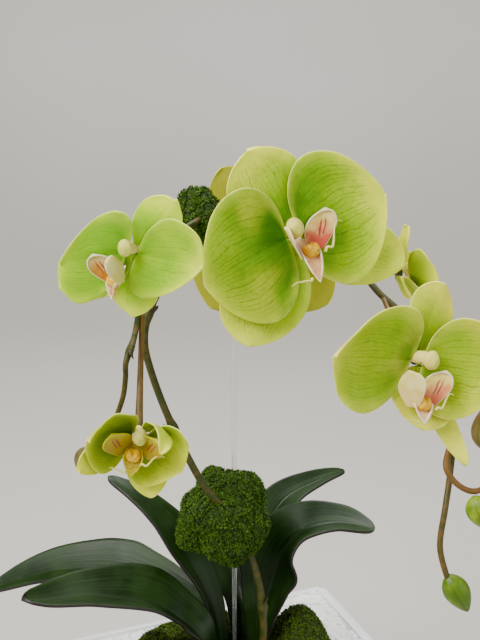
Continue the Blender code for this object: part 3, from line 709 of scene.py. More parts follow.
def paint_even(piece, value, name):
    """Gives every vertex the same value, as an attribute."""
    for item in piece.data.attributes.new(name, "FLOAT", "POINT").data:
        item.value = value


def bract(place, direction, out, radius, size):
    """A small dry pointed scale that clasps half the stalk at a joint."""
    made = new_grid(8, 8)
    along = Vector(direction).normalized()
    out = (Vector(out) - along * Vector(out).dot(along)).normalized()
    side = along.cross(out)
    for vert in made.data.vertices:
        across, high = vert.co.x, (vert.co.y + 1) / 2
        turn = across * 1.5 * (1 - high ** 1.6)
        reach = radius * 1.12 + size * 0.35 * high ** 2
        vert.co = PLANT @ (place + along * size * (high - 0.15)
                           + (out * math.cos(turn) + side * math.sin(turn)) * reach)
    edit(made)
    bpy.ops.mesh.remove_doubles(threshold=TINY)
    close_edit()
    apply_modifier(made, "SOLIDIFY", thickness=BRACT_WALL, offset=0.0)
    made.data.shade_smooth()
    return made


def stalk_material(name, green, brown):
    """Stalk skin: green with a brown flush where the ripeness is high, and fine bumps."""
    made, tree, shader = new_material(name, Roughness=0.5, Specular_IOR_Level=0.25)
    ripe = stored(tree, "ripeness")
    mottle = object_noise(tree, 240.0, 5.0)
    share = plus(tree, ripe, rescale(tree, mottle, 0.35, 0.7, -0.25, 0.25))
    base = dye(tree, share, green, brown)
    freckle = rescale(tree, object_noise(tree, 900.0, 3.0), 0.58, 0.72)
    freckled = dye(tree, times(tree, freckle, 0.4), base, tint(60, 44, 24))
    colour_in(tree, shader, freckled, mottle, (0.36, 0.55))
    emboss(tree, shader, object_noise(tree, 700.0, 3.0), 0.25, 0.0005)
    return made


stalk_skin = stalk_material("stalk_skin", tint(46, 56, 10), tint(112, 80, 34))
bract_skin = stalk_material("dry_bract", tint(44, 44, 14), tint(66, 44, 22))


def grow_stem(name, route, joints, radii, node):
    """A main stalk with its swollen joints; every joint gets one bract on alternate sides."""
    points = smooth_route(route, STALK_STEP)
    piece = stalk_piece(name, points, swollen(points, *radii, joints))
    ripe = [0.10 + 0.35 * (i / (len(points) - 1)) ** 2 for i in range(len(points))]
    paint_along(piece, points, ripe, "ripeness")
    finish_piece(piece, name, stalk_skin, "spike_green", node)
    scales = []
    for number, joint in enumerate(joints):
        i = min(round(joint / STALK_STEP), len(points) - 2)
        out = Vector(((-1) ** number, -0.6, 0.3))
        scales.append(bract(points[i], points[i + 1] - points[i], out, radii[0] * 0.85,
                            BRACT_LENGTH))
    scales = joined(*scales)
    paint_even(scales, 0.5, "ripeness")
    finish_piece(scales, name + "_bracts", bract_skin, "spike_green")


grow_stem("spike_stem", SPIKE_ROUTE, SPIKE_JOINTS, SPIKE_RADII, "flower_spike")
grow_stem("branch_stem", BRANCH_ROUTE, BRANCH_JOINTS, BRANCH_RADII, "side_branch")
far_line = smooth_route(FAR_STALK_ROUTE, STALK_STEP)
far_stalk = stalk_piece("far_stalk", far_line, [STALK_RADIUS] * len(far_line))
paint_along(far_stalk, far_line, [0.9] * len(far_line), "ripeness")
finish_piece(far_stalk, "far_bud_stalk", stalk_skin, "spike_green")


# ------------------------------------------------------------------ leaves
# Six thick waxy strap leaves from the crown: dark glossy green with a deep middle groove above,
# purple below, painted near black as painted shade. Each is one blade folded along its midrib and
# arching outwards.
LEAF_THICKNESS = 0.0022
LEAF_BASE_HALF = 0.0062
LEAF_FOLD = 0.70
LEAF_STEP = 0.001
# leaf: route of its midrib, widest half width, tilt
LEAVES = {
    "leaf_near_left": (
        ((-0.0255, -0.0040, 0.135), (-0.0340, -0.0060, 0.1684), (-0.0497, -0.0025, 0.1826),
         (-0.0726, -0.0062, 0.1979), (-0.1046, -0.0234, 0.2119), (-0.1282, -0.0414, 0.2200),
         (-0.1416, -0.0495, 0.2260)), 0.0240, -0.20),
    "leaf_far_left": (
        ((-0.0240, 0.0215, 0.140), (-0.0333, 0.0310, 0.1680), (-0.0613, 0.0440, 0.1800),
         (-0.0863, 0.0531, 0.1830), (-0.1102, 0.0613, 0.1820), (-0.1500, 0.0707, 0.1750),
         (-0.2000, 0.0768, 0.1560)), 0.0230, -0.30),
    "leaf_upright_left": (
        ((-0.0230, 0.0125, 0.145), (-0.0270, 0.0165, 0.1723), (-0.0325, 0.0195, 0.1889),
         (-0.0455, 0.0251, 0.2121), (-0.0617, 0.0334, 0.2330), (-0.0813, 0.0401, 0.2517),
         (-0.1014, 0.0462, 0.2637)), 0.0150, -0.20),
    "leaf_centre": (
        ((-0.0080, 0.0290, 0.145), (-0.0098, 0.0370, 0.1706), (-0.0150, 0.0500, 0.1858),
         (-0.0200, 0.0667, 0.1977), (-0.0270, 0.0843, 0.2062)), 0.0150, 0.0),
    "leaf_upper_right": (
        ((0.0020, 0.0220, 0.140), (0.0020, 0.0290, 0.1734), (0.0030, 0.0389, 0.1978),
         (0.0100, 0.0529, 0.2203), (0.0238, 0.0699, 0.2344), (0.0468, 0.0867, 0.2402),
         (0.0711, 0.0982, 0.2448)), 0.0160, 0.20),
    "leaf_lower_right": (
        ((0.0040, 0.0070, 0.140), (0.0075, 0.0100, 0.1760), (0.0140, 0.0160, 0.2007),
         (0.0215, 0.0215, 0.2202), (0.0359, 0.0240, 0.2335), (0.0584, 0.0230, 0.2390),
         (0.0812, 0.0120, 0.2400)), 0.0240, 0.20),
}


def close_sheet(piece, thickness, back_name=None):
    """Merges the tip, gives the sheet its wall and smooths it; the back can be marked."""
    edit(piece)
    bpy.ops.mesh.remove_doubles(threshold=TINY)
    close_edit()
    front = len(piece.data.vertices)
    apply_modifier(piece, "SOLIDIFY", thickness=thickness, offset=0.0)
    if back_name:
        layer = piece.data.attributes.new(back_name, "FLOAT", "POINT")
        for i, item in enumerate(layer.data):
            item.value = float(i >= front)
    apply_modifier(piece, "SUBSURF", levels=1, render_levels=1)
    piece.data.shade_smooth()


def leaf_half_width(share, widest):
    """Half width along a strap leaf: narrow base, broad middle, round tip."""
    swell = min(1.0, share / 0.45) ** 1.7
    tip = max(0.0, 1 - max(0.0, share - 0.55) / 0.45) ** 0.5
    return (LEAF_BASE_HALF + (widest - LEAF_BASE_HALF) * swell) * tip


def leaf_frames(route, tilt):
    """Point, side and upward direction at every step along a leaf."""
    points = smooth_route(route, LEAF_STEP)
    frames = []
    for i, here in enumerate(points):
        ahead = (points[min(i + 1, len(points) - 1)] - points[max(i - 1, 0)]).normalized()
        side = ahead.cross(Vector((0, 0, 1))).normalized()
        side = Matrix.Rotation(tilt * min(1.0, 2 * i / (len(points) - 1)), 3, ahead) @ side
        frames.append((here, side, side.cross(ahead)))
    return frames


def uv_parts(tree):
    """A piece's own UV map: output 0 runs across it and output 1 along it."""
    return put(tree, "SeparateXYZ", {0: put(tree, "UVMap", {}).outputs[0]}).outputs


def leaf_material():
    """Waxy leaf: streaked green above with a dark midrib and edge; purple below, painted near black
    as painted shade.
    """
    made, tree, shader = new_material("waxy_leaf", Coat_Weight=0.05, Coat_Roughness=0.3,
                                      Specular_IOR_Level=0.2)
    width_way, along = uv_parts(tree)[:2]
    across = reckon(tree, "ABSOLUTE", reckon(tree, "SUBTRACT", width_way, 0.5))
    lanes = put(tree, "CombineXYZ", {0: times(tree, width_way, 26.0),
                                     1: times(tree, along, 1.6)})
    streaks = put(tree, "TexNoise", {"Vector": lanes.outputs[0], "Scale": 1.0,
                                     "Detail": 3.0}).outputs["Fac"]
    under = stored(tree, "underside")
    patches = object_noise(tree, 42.0, 4.0)
    upper = dye(tree, rescale(tree, patches, 0.3, 0.75), tint(8, 28, 0), tint(24, 48, 8))
    upper = dye(tree, rescale(tree, streaks, 0.45, 0.75, 0.0, 0.5), upper, tint(40, 68, 18))
    upper = dye(tree, rescale(tree, across, 0.0, 0.035, 0.65, 0.0), upper, tint(16, 28, 10))
    upper = dye(tree, rescale(tree, across, 0.47, 0.5, 0.0, 0.6), upper, tint(40, 30, 30))
    # Underside: the leaf's own purple, darkened near black as painted shade.
    underside_purple_and_shade = dye(tree, rescale(tree, streaks, 0.35, 0.7), tint(22, 14, 20), tint(48, 30, 40))
    colour_in(tree, shader, dye(tree, under, upper, underside_purple_and_shade), patches, (0.30, 0.46))
    height = plus(tree, times(tree, streaks, 0.7),
                  times(tree, object_noise(tree, 600.0, 3.0), 0.3))
    emboss(tree, shader, height, 0.22, 0.0008)
    return made


waxy_leaf = leaf_material()
for number, (node, (route, widest, tilt)) in enumerate(LEAVES.items()):
    frames = leaf_frames(route, tilt)
    leaf = new_grid(20, 48)
    for vert in leaf.data.vertices:
        t, share = vert.co.x, (vert.co.y + 1) / 2
        here, side, over = frames[round(share * (len(frames) - 1))]
        half = leaf_half_width(share, widest)
        if share > 0.999:
            half = 0.0
        fold = LEAF_FOLD * (1 - 0.5 * share)
        groove = 0.0010 * math.exp(-(t / 0.10) ** 2) * (1 - share)
        sway = 0.0012 * math.sin(7 * share + 2 * number) * abs(t)
        vert.co = PLANT @ (here + side * half * t
                           + over * (half * fold * abs(t) ** 1.25 - groove + sway))
    close_sheet(leaf, LEAF_THICKNESS, "underside")
    finish_piece(leaf, node + "_blade", waxy_leaf, "leaf_green", node)


# ------------------------------------------------------------------ sepals and petals
# Each flower is three sepals behind two broad petals, all thick soft tissue, apple green with
# darker branching veins, a darker throat and a pale thin margin that waves a little.
# tepals: turn in the flower, length, width, skew and added bend of each, in TEPALS order
FLOWERS = {
    "centre": {
        "place": (0.0168, -0.0963, 0.4541), "turn": (17, 4, 20), "size": 1.02, "lip": 1.00,
        "breadth": (1.00, 0.95), "bowl": 4.5, "tepals": (
            (101, 0.99, 1.10, 0.02, -1.1), (226, 0.99, 1.12, -0.10, 0.5),
            (-37, 1.03, 0.82, 0.17, 0.7), (184, 1.02, 0.98, 0.04, 0.5),
            (5, 0.96, 1.01, 0.00, 2.4))},
    "left": {
        "place": (-0.0607, -0.1040, 0.4470), "turn": (-25, 20, 0), "size": 0.82, "lip": 0.85,
        "breadth": (0.82, 1.08), "bowl": 2.0, "tepals": (
            (45, 1.02, 0.70, -0.06, -1.8), (207, 1.19, 0.78, 0.12, -1.0),
            (255, 0.82, 0.66, -0.18, 1.5), (190, 1.03, 1.00, 0.80, 1.0),
            (-2, 0.99, 1.02, 0.59, 2.9))},
    "lower_left": {
        "place": (-0.0603, -0.1068, 0.3540), "turn": (4, 22, -6), "size": 0.57, "lip": 0.90,
        "breadth": (1.22, 0.85), "bowl": 15.0, "tepals": (
            (46, 1.20, 0.90, 0.10, 20.0), (209, 1.00, 1.00, 0.00, 0.0),
            (286, 1.00, 1.00, 0.00, 0.0), (167, 1.00, 1.00, 0.00, 0.0),
            (-28, 1.00, 1.00, 0.00, 0.0))},
    "right": {
        "place": (0.0752, -0.1214, 0.3972), "turn": (10, -5, 0), "size": 0.82, "lip": 0.95,
        "breadth": (0.90, 0.70), "bowl": 8.0, "tepals": (
            (73, 0.99, 1.11, 0.37, -2.3), (277, 0.67, 1.13, 0.34, 2.7),
            (-65, 1.17, 0.46, -0.07, -1.5), (172, 1.13, 1.04, 0.31, 0.2),
            (-11, 1.11, 1.00, 0.08, 1.4))},
    "rear": {
        "place": (0.0040, 0.0560, 0.4270), "turn": (176, 5, -30), "size": 1.02, "lip": 0.95,
        "breadth": (1.0, 1.0), "bowl": 2.0, "tepals": (
            (92, 1.12, 1.00, 0.00, 0.0), (252, 1.05, 1.00, 0.00, 0.0),
            (-62, 1.00, 1.00, 0.00, 0.0), (180, 1.00, 1.00, 0.00, 0.0),
            (-24, 1.12, 1.00, 0.00, 0.0))},
    "rear_right": {
        "place": (0.0790, -0.0600, 0.4290), "turn": (98, -15, 10), "size": 0.48, "lip": 0.60,
        "breadth": (0.95, 0.90), "bowl": 13.0, "tepals": (
            (90, 1.00, 1.00, 0.00, 0.0), (225, 1.00, 1.00, 0.00, 0.0),
            (-45, 1.00, 1.00, 0.00, 0.0), (180, 1.00, 1.00, 0.00, 0.0),
            (0, 1.00, 1.00, 0.00, 0.0))},
}
TEPALS = ("dorsal_sepal", "left_lateral_sepal", "right_lateral_sepal", "left_petal", "right_petal")
# tepal: length, width, rise, fall, bow, height of its layer over the hub
TEPAL_FORMS = {
    "dorsal_sepal": (0.0440, 0.0370, 0.9, 0.55, 0.05, -0.5),
    "left_lateral_sepal": (0.0550, 0.0440, 0.9, 0.55, 0.05, -0.5),
    "right_lateral_sepal": (0.0550, 0.0440, 0.9, 0.55, 0.05, -1.5),
    "left_petal": (0.0470, 0.0710, 0.60, 0.50, 0.15, 0.5),
    "right_petal": (0.0470, 0.0710, 0.60, 0.50, 0.15, 0.5),
}
CLAW_HALF = 0.0024
CLAW_GAP = 0.0006
HUB_RADIUS = 0.0028
LAYER_GAP = 0.0028
RUFFLE = 0.0012
TEPAL_THICKNESS = 0.0008


def flower_seat(flower):
    """A flower's own frame: its front is -Y and its top +Z."""
    yaw, pitch, roll = (math.radians(angle) for angle in FLOWERS[flower]["turn"])
    return (PLANT @ Matrix.Translation(FLOWERS[flower]["place"]) @ Matrix.Rotation(yaw, 4, "Z")
            @ Matrix.Rotation(pitch, 4, "X") @ Matrix.Rotation(-roll, 4, "Y"))


def tepal_half_width(share, width, rise, fall):
    """Half width from the claw (0) to the tip (1)."""
    best = rise / (rise + fall)
    peak = best ** rise * (1 - best) ** fall
    swell = share ** rise * max(0.0, 1 - share) ** fall / peak
    return CLAW_HALF * (1 - share) + (width / 2 - CLAW_HALF * (1 - best)) * swell


def bowl(x, z, lift, curvature):
    """Bends the flat flower into a shallow bowl; lift is the height towards the viewer."""
    reach = math.hypot(x, z)
    if reach < 1e-6 or abs(curvature) < 1e-6:
        return Vector((x, -lift, z))
    turn = reach * curvature
    radial = math.sin(turn) / curvature - lift * math.sin(turn)
    forward = (1 - math.cos(turn)) / curvature + lift * math.cos(turn)
    return Vector((x / reach * radial, -forward, z / reach * radial))


# how much sooner a blade turns pale from its claw to its margin than the darkest petal does;
# the right petal is painted paler than the left as painted light, and the sepals' paleness is
# partly their own colour and partly painted light
BLADE_PALENESS_AND_PAINTED_LIGHT = {"dorsal_sepal": 0.42, "left_lateral_sepal": 0.30, "right_lateral_sepal": 0.40,
            "left_petal": 0.0, "right_petal": 0.32}


def grow_tepal(flower, part, own, seed):
    """One petal or sepal, drawn flat, waved, lifted to its layer and bent into the bowl."""
    facts = FLOWERS[flower]
    length, width, rise, fall, bow, layer = TEPAL_FORMS[part]
    turn, longer, wider, skew, bend = own
    angle = math.radians(turn)
    petal_breadth, sepal_breadth = facts["breadth"]
    length *= longer
    width *= wider * (petal_breadth if part.endswith("petal") else sepal_breadth)
    size = facts["size"]
    seat = flower_seat(flower)
    piece = new_grid(26, 34)
    rim = piece.data.attributes.new("rim", "FLOAT", "POINT")
    for vert in piece.data.vertices:
        t = vert.co.x
        share = math.sin(math.pi / 4 * (vert.co.y + 1))
        half = tepal_half_width(share, width, rise, fall)
        if share > 0.9999:
            half = 0.0
        across = half * t * size
        along = HUB_RADIUS + CLAW_GAP + length * size * (share - bow * t * t * half / (width / 2))
        along += skew * across
        rim.data[vert.index].value = min(half * size * (1 - abs(t)), length * size * (1 - share))
        x = along * math.cos(angle) - across * math.sin(angle)
        z = along * math.sin(angle) + across * math.cos(angle)
        wave = RUFFLE * (1 + math.sin(9 * share + 2 * t)) * t * t * share
        soft = noise.noise(Vector((x * 60, z * 60, seed * 3.7))) * 0.0022 * share
        fine = noise.noise(Vector((x * 240, z * 240, seed))) * 0.0004 * abs(t) ** 3
        crease = 0.0007 * math.exp(-(t / 0.07) ** 2) * (1 - share)
        lift = layer * LAYER_GAP + math.copysign(wave, layer) + soft + fine - crease
        vert.co = seat @ bowl(x, z, lift, (facts["bowl"] + bend) / size)
    close_sheet(piece, TEPAL_THICKNESS)
    paint_even(piece, BLADE_PALENESS_AND_PAINTED_LIGHT[part], "pale")
    return piece


def vein_group():
    """Branching veins on a blade's UV: few at the claw, forking twice towards the margin."""
    group = bpy.data.node_groups.new("branching_veins", "ShaderNodeTree")
    for name, start in (("Main Veins", 4.0), ("Wander", 0.5), ("Line", 0.2)):
        made = group.interface.new_socket(name, in_out="INPUT", socket_type="NodeSocketFloat")
        made.default_value = start
    for name in ("Veins", "Net"):
        group.interface.new_socket(name, in_out="OUTPUT", socket_type="NodeSocketFloat")
    entry = group.nodes.new("NodeGroupInput")
    leave = group.nodes.new("NodeGroupOutput")
    uv = put(group, "UVMap", {}).outputs[0]
    parts = put(group, "SeparateXYZ", {0: uv})
    along = parts.outputs[1]
    stretched = put(group, "Mapping", {"Vector": uv, "Scale": (7.0, 3.2, 1.0)}).outputs[0]
    drift = put(group, "TexNoise", {"Vector": stretched, "Scale": 1.0, "Detail": 3.0}).outputs[0]
    drift = times(group, reckon(group, "SUBTRACT", drift, 0.5), entry.outputs[1])
    veins = None
    for forks, low, high in ((2.0, -0.2, 0.0), (4.0, 0.15, 0.4), (8.0, 0.42, 0.7)):
        lanes = times(group, parts.outputs[0],
                      times(group, entry.outputs[0], forks))
        phase = plus(group, lanes, times(group, drift, forks ** 0.5))
        wave = reckon(group, "ABSOLUTE",
                      reckon(group, "SINE", times(group, phase, math.pi)))
        line = put(group, "MapRange", {0: wave, 1: 0.0, 2: entry.outputs[2], 3: 1.0, 4: 0.0},
                   interpolation_type="SMOOTHSTEP").outputs[0]
        line = times(group, line, rescale(group, along, low, high))
        veins = line if veins is None else reckon(group, "MAXIMUM", veins, line)
    cells = put(group, "Mapping", {"Vector": uv, "Scale": (34.0, 20.0, 1.0)}).outputs[0]
    edges = put(group, "TexVoronoi", {"Vector": cells, "Scale": 1.0},
                feature="DISTANCE_TO_EDGE").outputs["Distance"]
    group.links.new(veins, leave.inputs[0])
    group.links.new(rescale(group, edges, 0.0, 0.16, 1.0, 0.0), leave.inputs[1])
    return group


branching_veins = vein_group()


def petal_material(name, throat, heart, field, margin, blush, vein_depth):
    """Living petal: throat to margin colours, darker veins, a pale rim and a soft blush."""
    made, tree, shader = new_material(name, Roughness=0.5, Specular_IOR_Level=0.10,
                                      Subsurface_Weight=0.15, Subsurface_Scale=0.004)
    shader.inputs["Subsurface Radius"].default_value = (0.7, 1.0, 0.25)
    along = uv_parts(tree)[1]
    rim = stored(tree, "rim")
    cloud = object_noise(tree, 55.0, 4.0)
    reach = plus(tree, along, rescale(tree, cloud, 0.25, 0.75, -0.10, 0.10))
    # The stored paleness shifts a blade's colours paler; part of it is painted light.
    pale = stored(tree, "pale")
    reach = plus(tree, times(tree, reach, plus(tree, pale, 1.0)),
                 times(tree, pale, 0.25))
    body = grades(tree, reach, ((0.02, throat), (0.26, heart), (0.66, field), (1.0, margin)))
    patchy = rescale(tree, object_noise(tree, 90.0, 3.0), 0.3, 0.7, 0.35, 1.0)
    near_rim = times(tree, rescale(tree, rim, 0.0, 0.0085, 0.55, 0.0), patchy)
    body = dye(tree, near_rim, body, margin)
    patch = rescale(tree, object_noise(tree, 28.0, 2.0), 0.52, 0.75, 0.0, 0.5)
    body = dye(tree, patch, body, blush)
    lines = put(tree, "Group", {}, node_tree=branching_veins)
    lines.inputs["Main Veins"].default_value = 7.0
    lines.inputs["Wander"].default_value = 1.1
    lines.inputs["Line"].default_value = 0.42
    fade = rescale(tree, rim, 0.0006, 0.012, 0.10, 1.0)
    vein = times(tree, lines.outputs["Veins"],
                 times(tree, fade, vein_depth))
    net = times(tree, lines.outputs["Net"],
                times(tree, fade, vein_depth * 0.40))
    mark = reckon(tree, "MAXIMUM", vein, net)
    broken = rescale(tree, object_noise(tree, 300.0, 3.0), 0.3, 0.65, 0.35, 1.0)
    mark = times(tree, mark, broken)
    veined = dye(tree, mark, body, throat)
    edge = rescale(tree, rim, 0.0, 0.0005, 0.45, 0.0)
    colour_in(tree, shader, dye(tree, edge, veined, tint(242, 248, 132)), cloud, (0.44, 0.58))
    height = reckon(tree, "SUBTRACT", object_noise(tree, 900.0, 3.0),
                    times(tree, lines.outputs["Veins"], 0.8))
    emboss(tree, shader, height, 0.16, 0.0005)
    return made


# throat, heart, field, margin, blush, depth of the veins
PETAL_TINTS = {
    "centre": (tint(48, 106, 0), tint(104, 154, 0), tint(172, 204, 8), tint(230, 242, 66),
               tint(214, 220, 40), 0.62),
    "left": (tint(80, 142, 0), tint(124, 180, 0), tint(160, 206, 0), tint(216, 240, 52),
             tint(186, 220, 16), 0.55),
    "lower_left": (tint(74, 96, 0), tint(110, 134, 0), tint(152, 172, 0), tint(214, 222, 52),
                   tint(196, 202, 20), 0.55),
    "right": (tint(76, 114, 0), tint(132, 166, 0), tint(172, 192, 18), tint(220, 224, 72),
              tint(208, 196, 60), 0.60),
    # the rear flower's colours are the same green painted darker and duller as painted shade
    "rear": (tint(78, 84, 4), tint(106, 108, 8), tint(126, 126, 14), tint(150, 148, 34),
             tint(132, 126, 22), 0.35),
    "rear_right": (tint(104, 130, 0), tint(148, 170, 0), tint(178, 192, 10), tint(224, 224, 60),
                   tint(202, 188, 30), 0.40),
}
for flower, facts in FLOWERS.items():
    petal_skin = petal_material(flower + "_petal_skin", *PETAL_TINTS[flower])
    for number, (part, own) in enumerate(zip(TEPALS, facts["tepals"])):
        tepal = grow_tepal(flower, part, own, number + len(flower))
        node = flower + "_" + part
        finish_piece(tepal, node + "_blade", petal_skin, "petal_green", node)


# ------------------------------------------------------------------ lips
# The lip is the small three-lobed lower petal: two side lobes stand up like shells beside the
# column, the middle lobe juts forward and down and ends in two curling tendrils, and a waxy
# yellow crest with red spots sits where the three meet. All are fleshy and fused at the base.
# turn: yaw, pitch, roll of the lip; shift: right, forward, up in mm; flare: how far the front
# edges of the left and right lobes turn out, in degrees; column: its own yaw and pitch;
# point, broad, spread, lean: length of the tip, breadth of the side lobes, their distance from
# the middle, and how far the tip leans to the right in mm; tails: length of the tendrils;
# deep: how far up the flush reaches; shell, hem, flush, floor: colours of the side lobes, the
# rims, the lobes' feet and the trough; spots: strength of the specks
PLAIN_LIP = {"turn": (0, 0, 0), "shift": (0.0, 0.0, -2.0), "flare": (15, 15), "column": (0, 0),
             "broad": 1.0, "spread": 1.0, "lean": 0.0}
LIPS = {
    "centre": {
        "turn": (22, 0, -4), "shift": (0.5, 0.0, -0.5), "flare": (36, 50), "column": (0, -8),
        "point": 0.80, "broad": 1.15, "spread": 1.35, "lean": -6.0, "tails": 1.0, "deep": 0.62,
        "shell": tint(226, 200, 96), "hem": tint(244, 238, 200), "flush": tint(200, 84, 66),
        "floor": tint(224, 156, 96), "spots": 0.0},
    "left": {
        "turn": (-24, 0, 14), "shift": (-7.0, 0.0, -6.5), "flare": (30, 24), "column": (0, -14),
        "point": 0.35, "broad": 1.05, "spread": 1.1, "lean": 0.0, "tails": 0.25, "deep": 1.0,
        "shell": tint(228, 218, 96), "hem": tint(240, 234, 206), "flush": tint(176, 112, 0),
        "floor": tint(200, 128, 0), "spots": 0.9},
    "lower_left": {
        "turn": (-6, 6, 0), "shift": (-1.0, 0.0, 1.0), "flare": (50, 50), "column": (6, -6),
        "point": 0.5, "broad": 1.3, "spread": 1.3, "lean": 0.0, "tails": 0.8, "deep": 1.0,
        "shell": tint(176, 168, 0), "hem": tint(196, 190, 10), "flush": tint(150, 128, 0),
        "floor": tint(170, 148, 0), "spots": 1.0},
    "right": {
        "turn": (16, 0, -6), "shift": (-2.0, 0.0, -12.0), "flare": (-22, 46), "column": (34, 18),
        "point": 0.32, "broad": 1.05, "spread": 1.15, "lean": -2.0, "tails": 0.7, "deep": 0.62,
        "shell": tint(224, 206, 92), "hem": tint(240, 232, 196), "flush": tint(208, 112, 80),
        "floor": tint(226, 172, 124), "spots": 0.1},
    "rear": {
        **PLAIN_LIP, "point": 1.0, "tails": 0.8, "deep": 0.7,
        "shell": tint(216, 196, 110), "hem": tint(232, 224, 180), "flush": tint(196, 130, 50),
        "floor": tint(206, 156, 80), "spots": 0.3},
    "rear_right": {
        **PLAIN_LIP, "point": 0.8, "tails": 0.6, "deep": 0.8,
        "shell": tint(232, 216, 90), "hem": tint(240, 232, 180), "flush": tint(204, 154, 0),
        "floor": tint(214, 166, 10), "spots": 0.2},
}
MM = 0.001
LOBE_THICKNESS = 0.0008
FLOOR_THICKNESS = 0.0009
TENDRIL_STEP = 0.0009
TENDRIL_RADIUS = 0.00075
# in mm: height of a side lobe and of its foot, and where the middle lobe's point begins
LOBE_HEIGHT = 19.0
LOBE_FOOT = 9.5
POINT_AHEAD = 13.5
POINT_BELOW = 13.0


def lip_seat(flower):
    lip = LIPS[flower]
    yaw, pitch, roll = (math.radians(angle) for angle in lip["turn"])
    right, ahead, up = (value * MM for value in lip["shift"])
    size = FLOWERS[flower]["lip"]
    return (flower_seat(flower) @ Matrix.Translation((right, -ahead, up))
            @ Matrix.Rotation(yaw, 4, "Z") @ Matrix.Rotation(pitch, 4, "X")
            @ Matrix.Rotation(-roll, 4, "Y") @ Matrix.Diagonal((size, size, size, 1.0)))


def side_lobe(flower, hand):
    """A standing shell: narrow foot beside the column, broad round top cupped inwards."""
    piece = new_grid(20, 24)
    seat = lip_seat(flower)
    flare = math.radians(LIPS[flower]["flare"][0 if hand < 0 else 1])
    rim = piece.data.attributes.new("rim", "FLOAT", "POINT")
    for vert in piece.data.vertices:
        t = vert.co.x
        share = math.sin(math.pi / 4 * (vert.co.y + 1))
        broad = math.sin(min(1.0, share / 0.66) * math.pi / 2)
        half = (2.8 + 4.9 * broad) * LIPS[flower]["broad"] * math.sqrt(max(0.0, 1 - share ** 6))
        rim.data[vert.index].value = min(half * (1 - abs(t)), LOBE_HEIGHT * (1 - share)) * MM
        cup = 2.6 * share * t * t + 1.8 * max(0.0, share - 0.5)
        aside = (4.2 + 6.4 * share) * LIPS[flower]["spread"] - cup + half * t * math.sin(flare)
        ahead = 8.5 + 3.0 * share + half * t * math.cos(flare)
        above = -LOBE_FOOT + LOBE_HEIGHT * share + 0.12 * half * t - 0.9 * t * t * share
        ripple = 0.5 * noise.noise(Vector((t * 1.6, share * 2.4, hand * 5.0))) * abs(t)
        vert.co = seat @ (Vector((hand * (aside + ripple), -ahead, above)) * MM)
    close_sheet(piece, LOBE_THICKNESS, "inside")
    if hand > 0:
        for item in piece.data.attributes["inside"].data:
            item.value = 1.0 - item.value
    return piece


# share of its length: forward, up, half width and wall height of the middle lobe, in mm
LIP_FLOOR = (
    (0.00, 1.0, -2.0, 2.4, 0.6), (0.25, 8.0, -8.6, 4.2, 2.6), (0.50, 13.5, -13.0, 5.4, 6.6),
    (0.68, 16.5, -16.6, 5.2, 7.4), (0.84, 18.6, -20.0, 3.6, 4.2), (1.00, 19.6, -23.0, 0.0, 0.6),
)


def middle_lobe(flower):
    """The forward lobe: a trough from the hub that rises into two walls and ends in a point."""
    piece = new_grid(18, 30)
    point = LIPS[flower]["point"]
    seat = lip_seat(flower)
    rim = piece.data.attributes.new("rim", "FLOAT", "POINT")
    for vert in piece.data.vertices:
        t, share = vert.co.x, (vert.co.y + 1) / 2
        stop = max(k for k in range(len(LIP_FLOOR) - 1) if LIP_FLOOR[k][0] <= share)
        low, high = LIP_FLOOR[stop], LIP_FLOOR[stop + 1]
        u = (share - low[0]) / (high[0] - low[0])
        ahead, above, half, wall = (a + (b - a) * u for a, b in zip(low[1:], high[1:]))
        ahead = min(ahead, POINT_AHEAD) + max(0.0, ahead - POINT_AHEAD) * point
        above = max(above, -POINT_BELOW) + min(0.0, above + POINT_BELOW) * point
        rim.data[vert.index].value = min((half + wall) * (1 - abs(t)), 24 * (1 - share)) * MM
        x = half * math.sin(t * math.pi / 2) + LIPS[flower]["lean"] * share ** 2
        rise = wall * (1 - math.cos(t * math.pi / 2)) * (1 + 0.08 * math.sin(9 * share))
        vert.co = seat @ (Vector((x, -ahead + 0.30 * rise, above + rise)) * MM)
    close_sheet(piece, FLOOR_THICKNESS)
    return piece


def tendril(flower, hand, route):
    """One thin curling tail of the middle lobe, tapering to a hair."""
    seat = PLANT.inverted() @ lip_seat(flower)
    tails = LIPS[flower]["tails"]
    start = Vector(route[0])
    points = [start + (Vector(stop) - start) * tails for stop in route]
    if hand < 0:
        drop = 5.5 * (1 - LIPS[flower]["point"])
        points = [stop + Vector((-LIPS[flower]["lean"], -drop * 0.8, drop)) for stop in points]
    points = [seat @ (Vector((hand * x, -ahead, above)) * MM) for x, ahead, above in points]
    points = smooth_route(points, TENDRIL_STEP)
    count = len(points) - 1
    size = FLOWERS[flower]["lip"]
    radii = [TENDRIL_RADIUS * (1 - 0.72 * i / count) * size for i in range(count + 1)]
    return stalk_piece("tendril", points, radii)


RIGHT_TENDRIL = ((5.0, 14.5, -9.5), (6.0, 15.5, -7.5), (8.5, 16.0, -8.5), (10.5, 16.0, -5.5),
                 (12.5, 15.5, -1.5), (15.0, 15.0, 1.5), (18.5, 14.0, 1.5), (20.5, 13.5, 0.0))
LEFT_TENDRIL = ((3.2, 18.0, -18.5), (4.2, 18.5, -19.5), (7.0, 18.0, -18.5), (9.5, 17.5, -18.0),
                (12.0, 17.0, -17.4), (15.0, 16.5, -18.0))


def crest(flower):
    """The waxy two-humped callus in the throat: an egg, notched on top and pulled forward."""
    piece = add_new(bpy.ops.mesh.primitive_uv_sphere_add, segments=24, ring_count=16, radius=1.0)
    seat = lip_seat(flower)
    for vert in piece.data.vertices:
        x, y, z = vert.co
        notch = 1.8 * math.exp(-(x / 0.28) ** 2) * max(0.0, z) * (1.2 - 0.5 * y)
        horn = 2.0 * max(0.0, z) ** 3 * max(0.0, -y)
        lump = 0.5 * noise.noise(vert.co * 2.5)
        vert.co = seat @ (Vector((x * 4.5, -10.4 + y * 4.2 - horn * 0.6,
                                  -7.2 + z * 3.8 - notch + horn + lump)) * MM)
    piece.data.shade_smooth()
    return piece


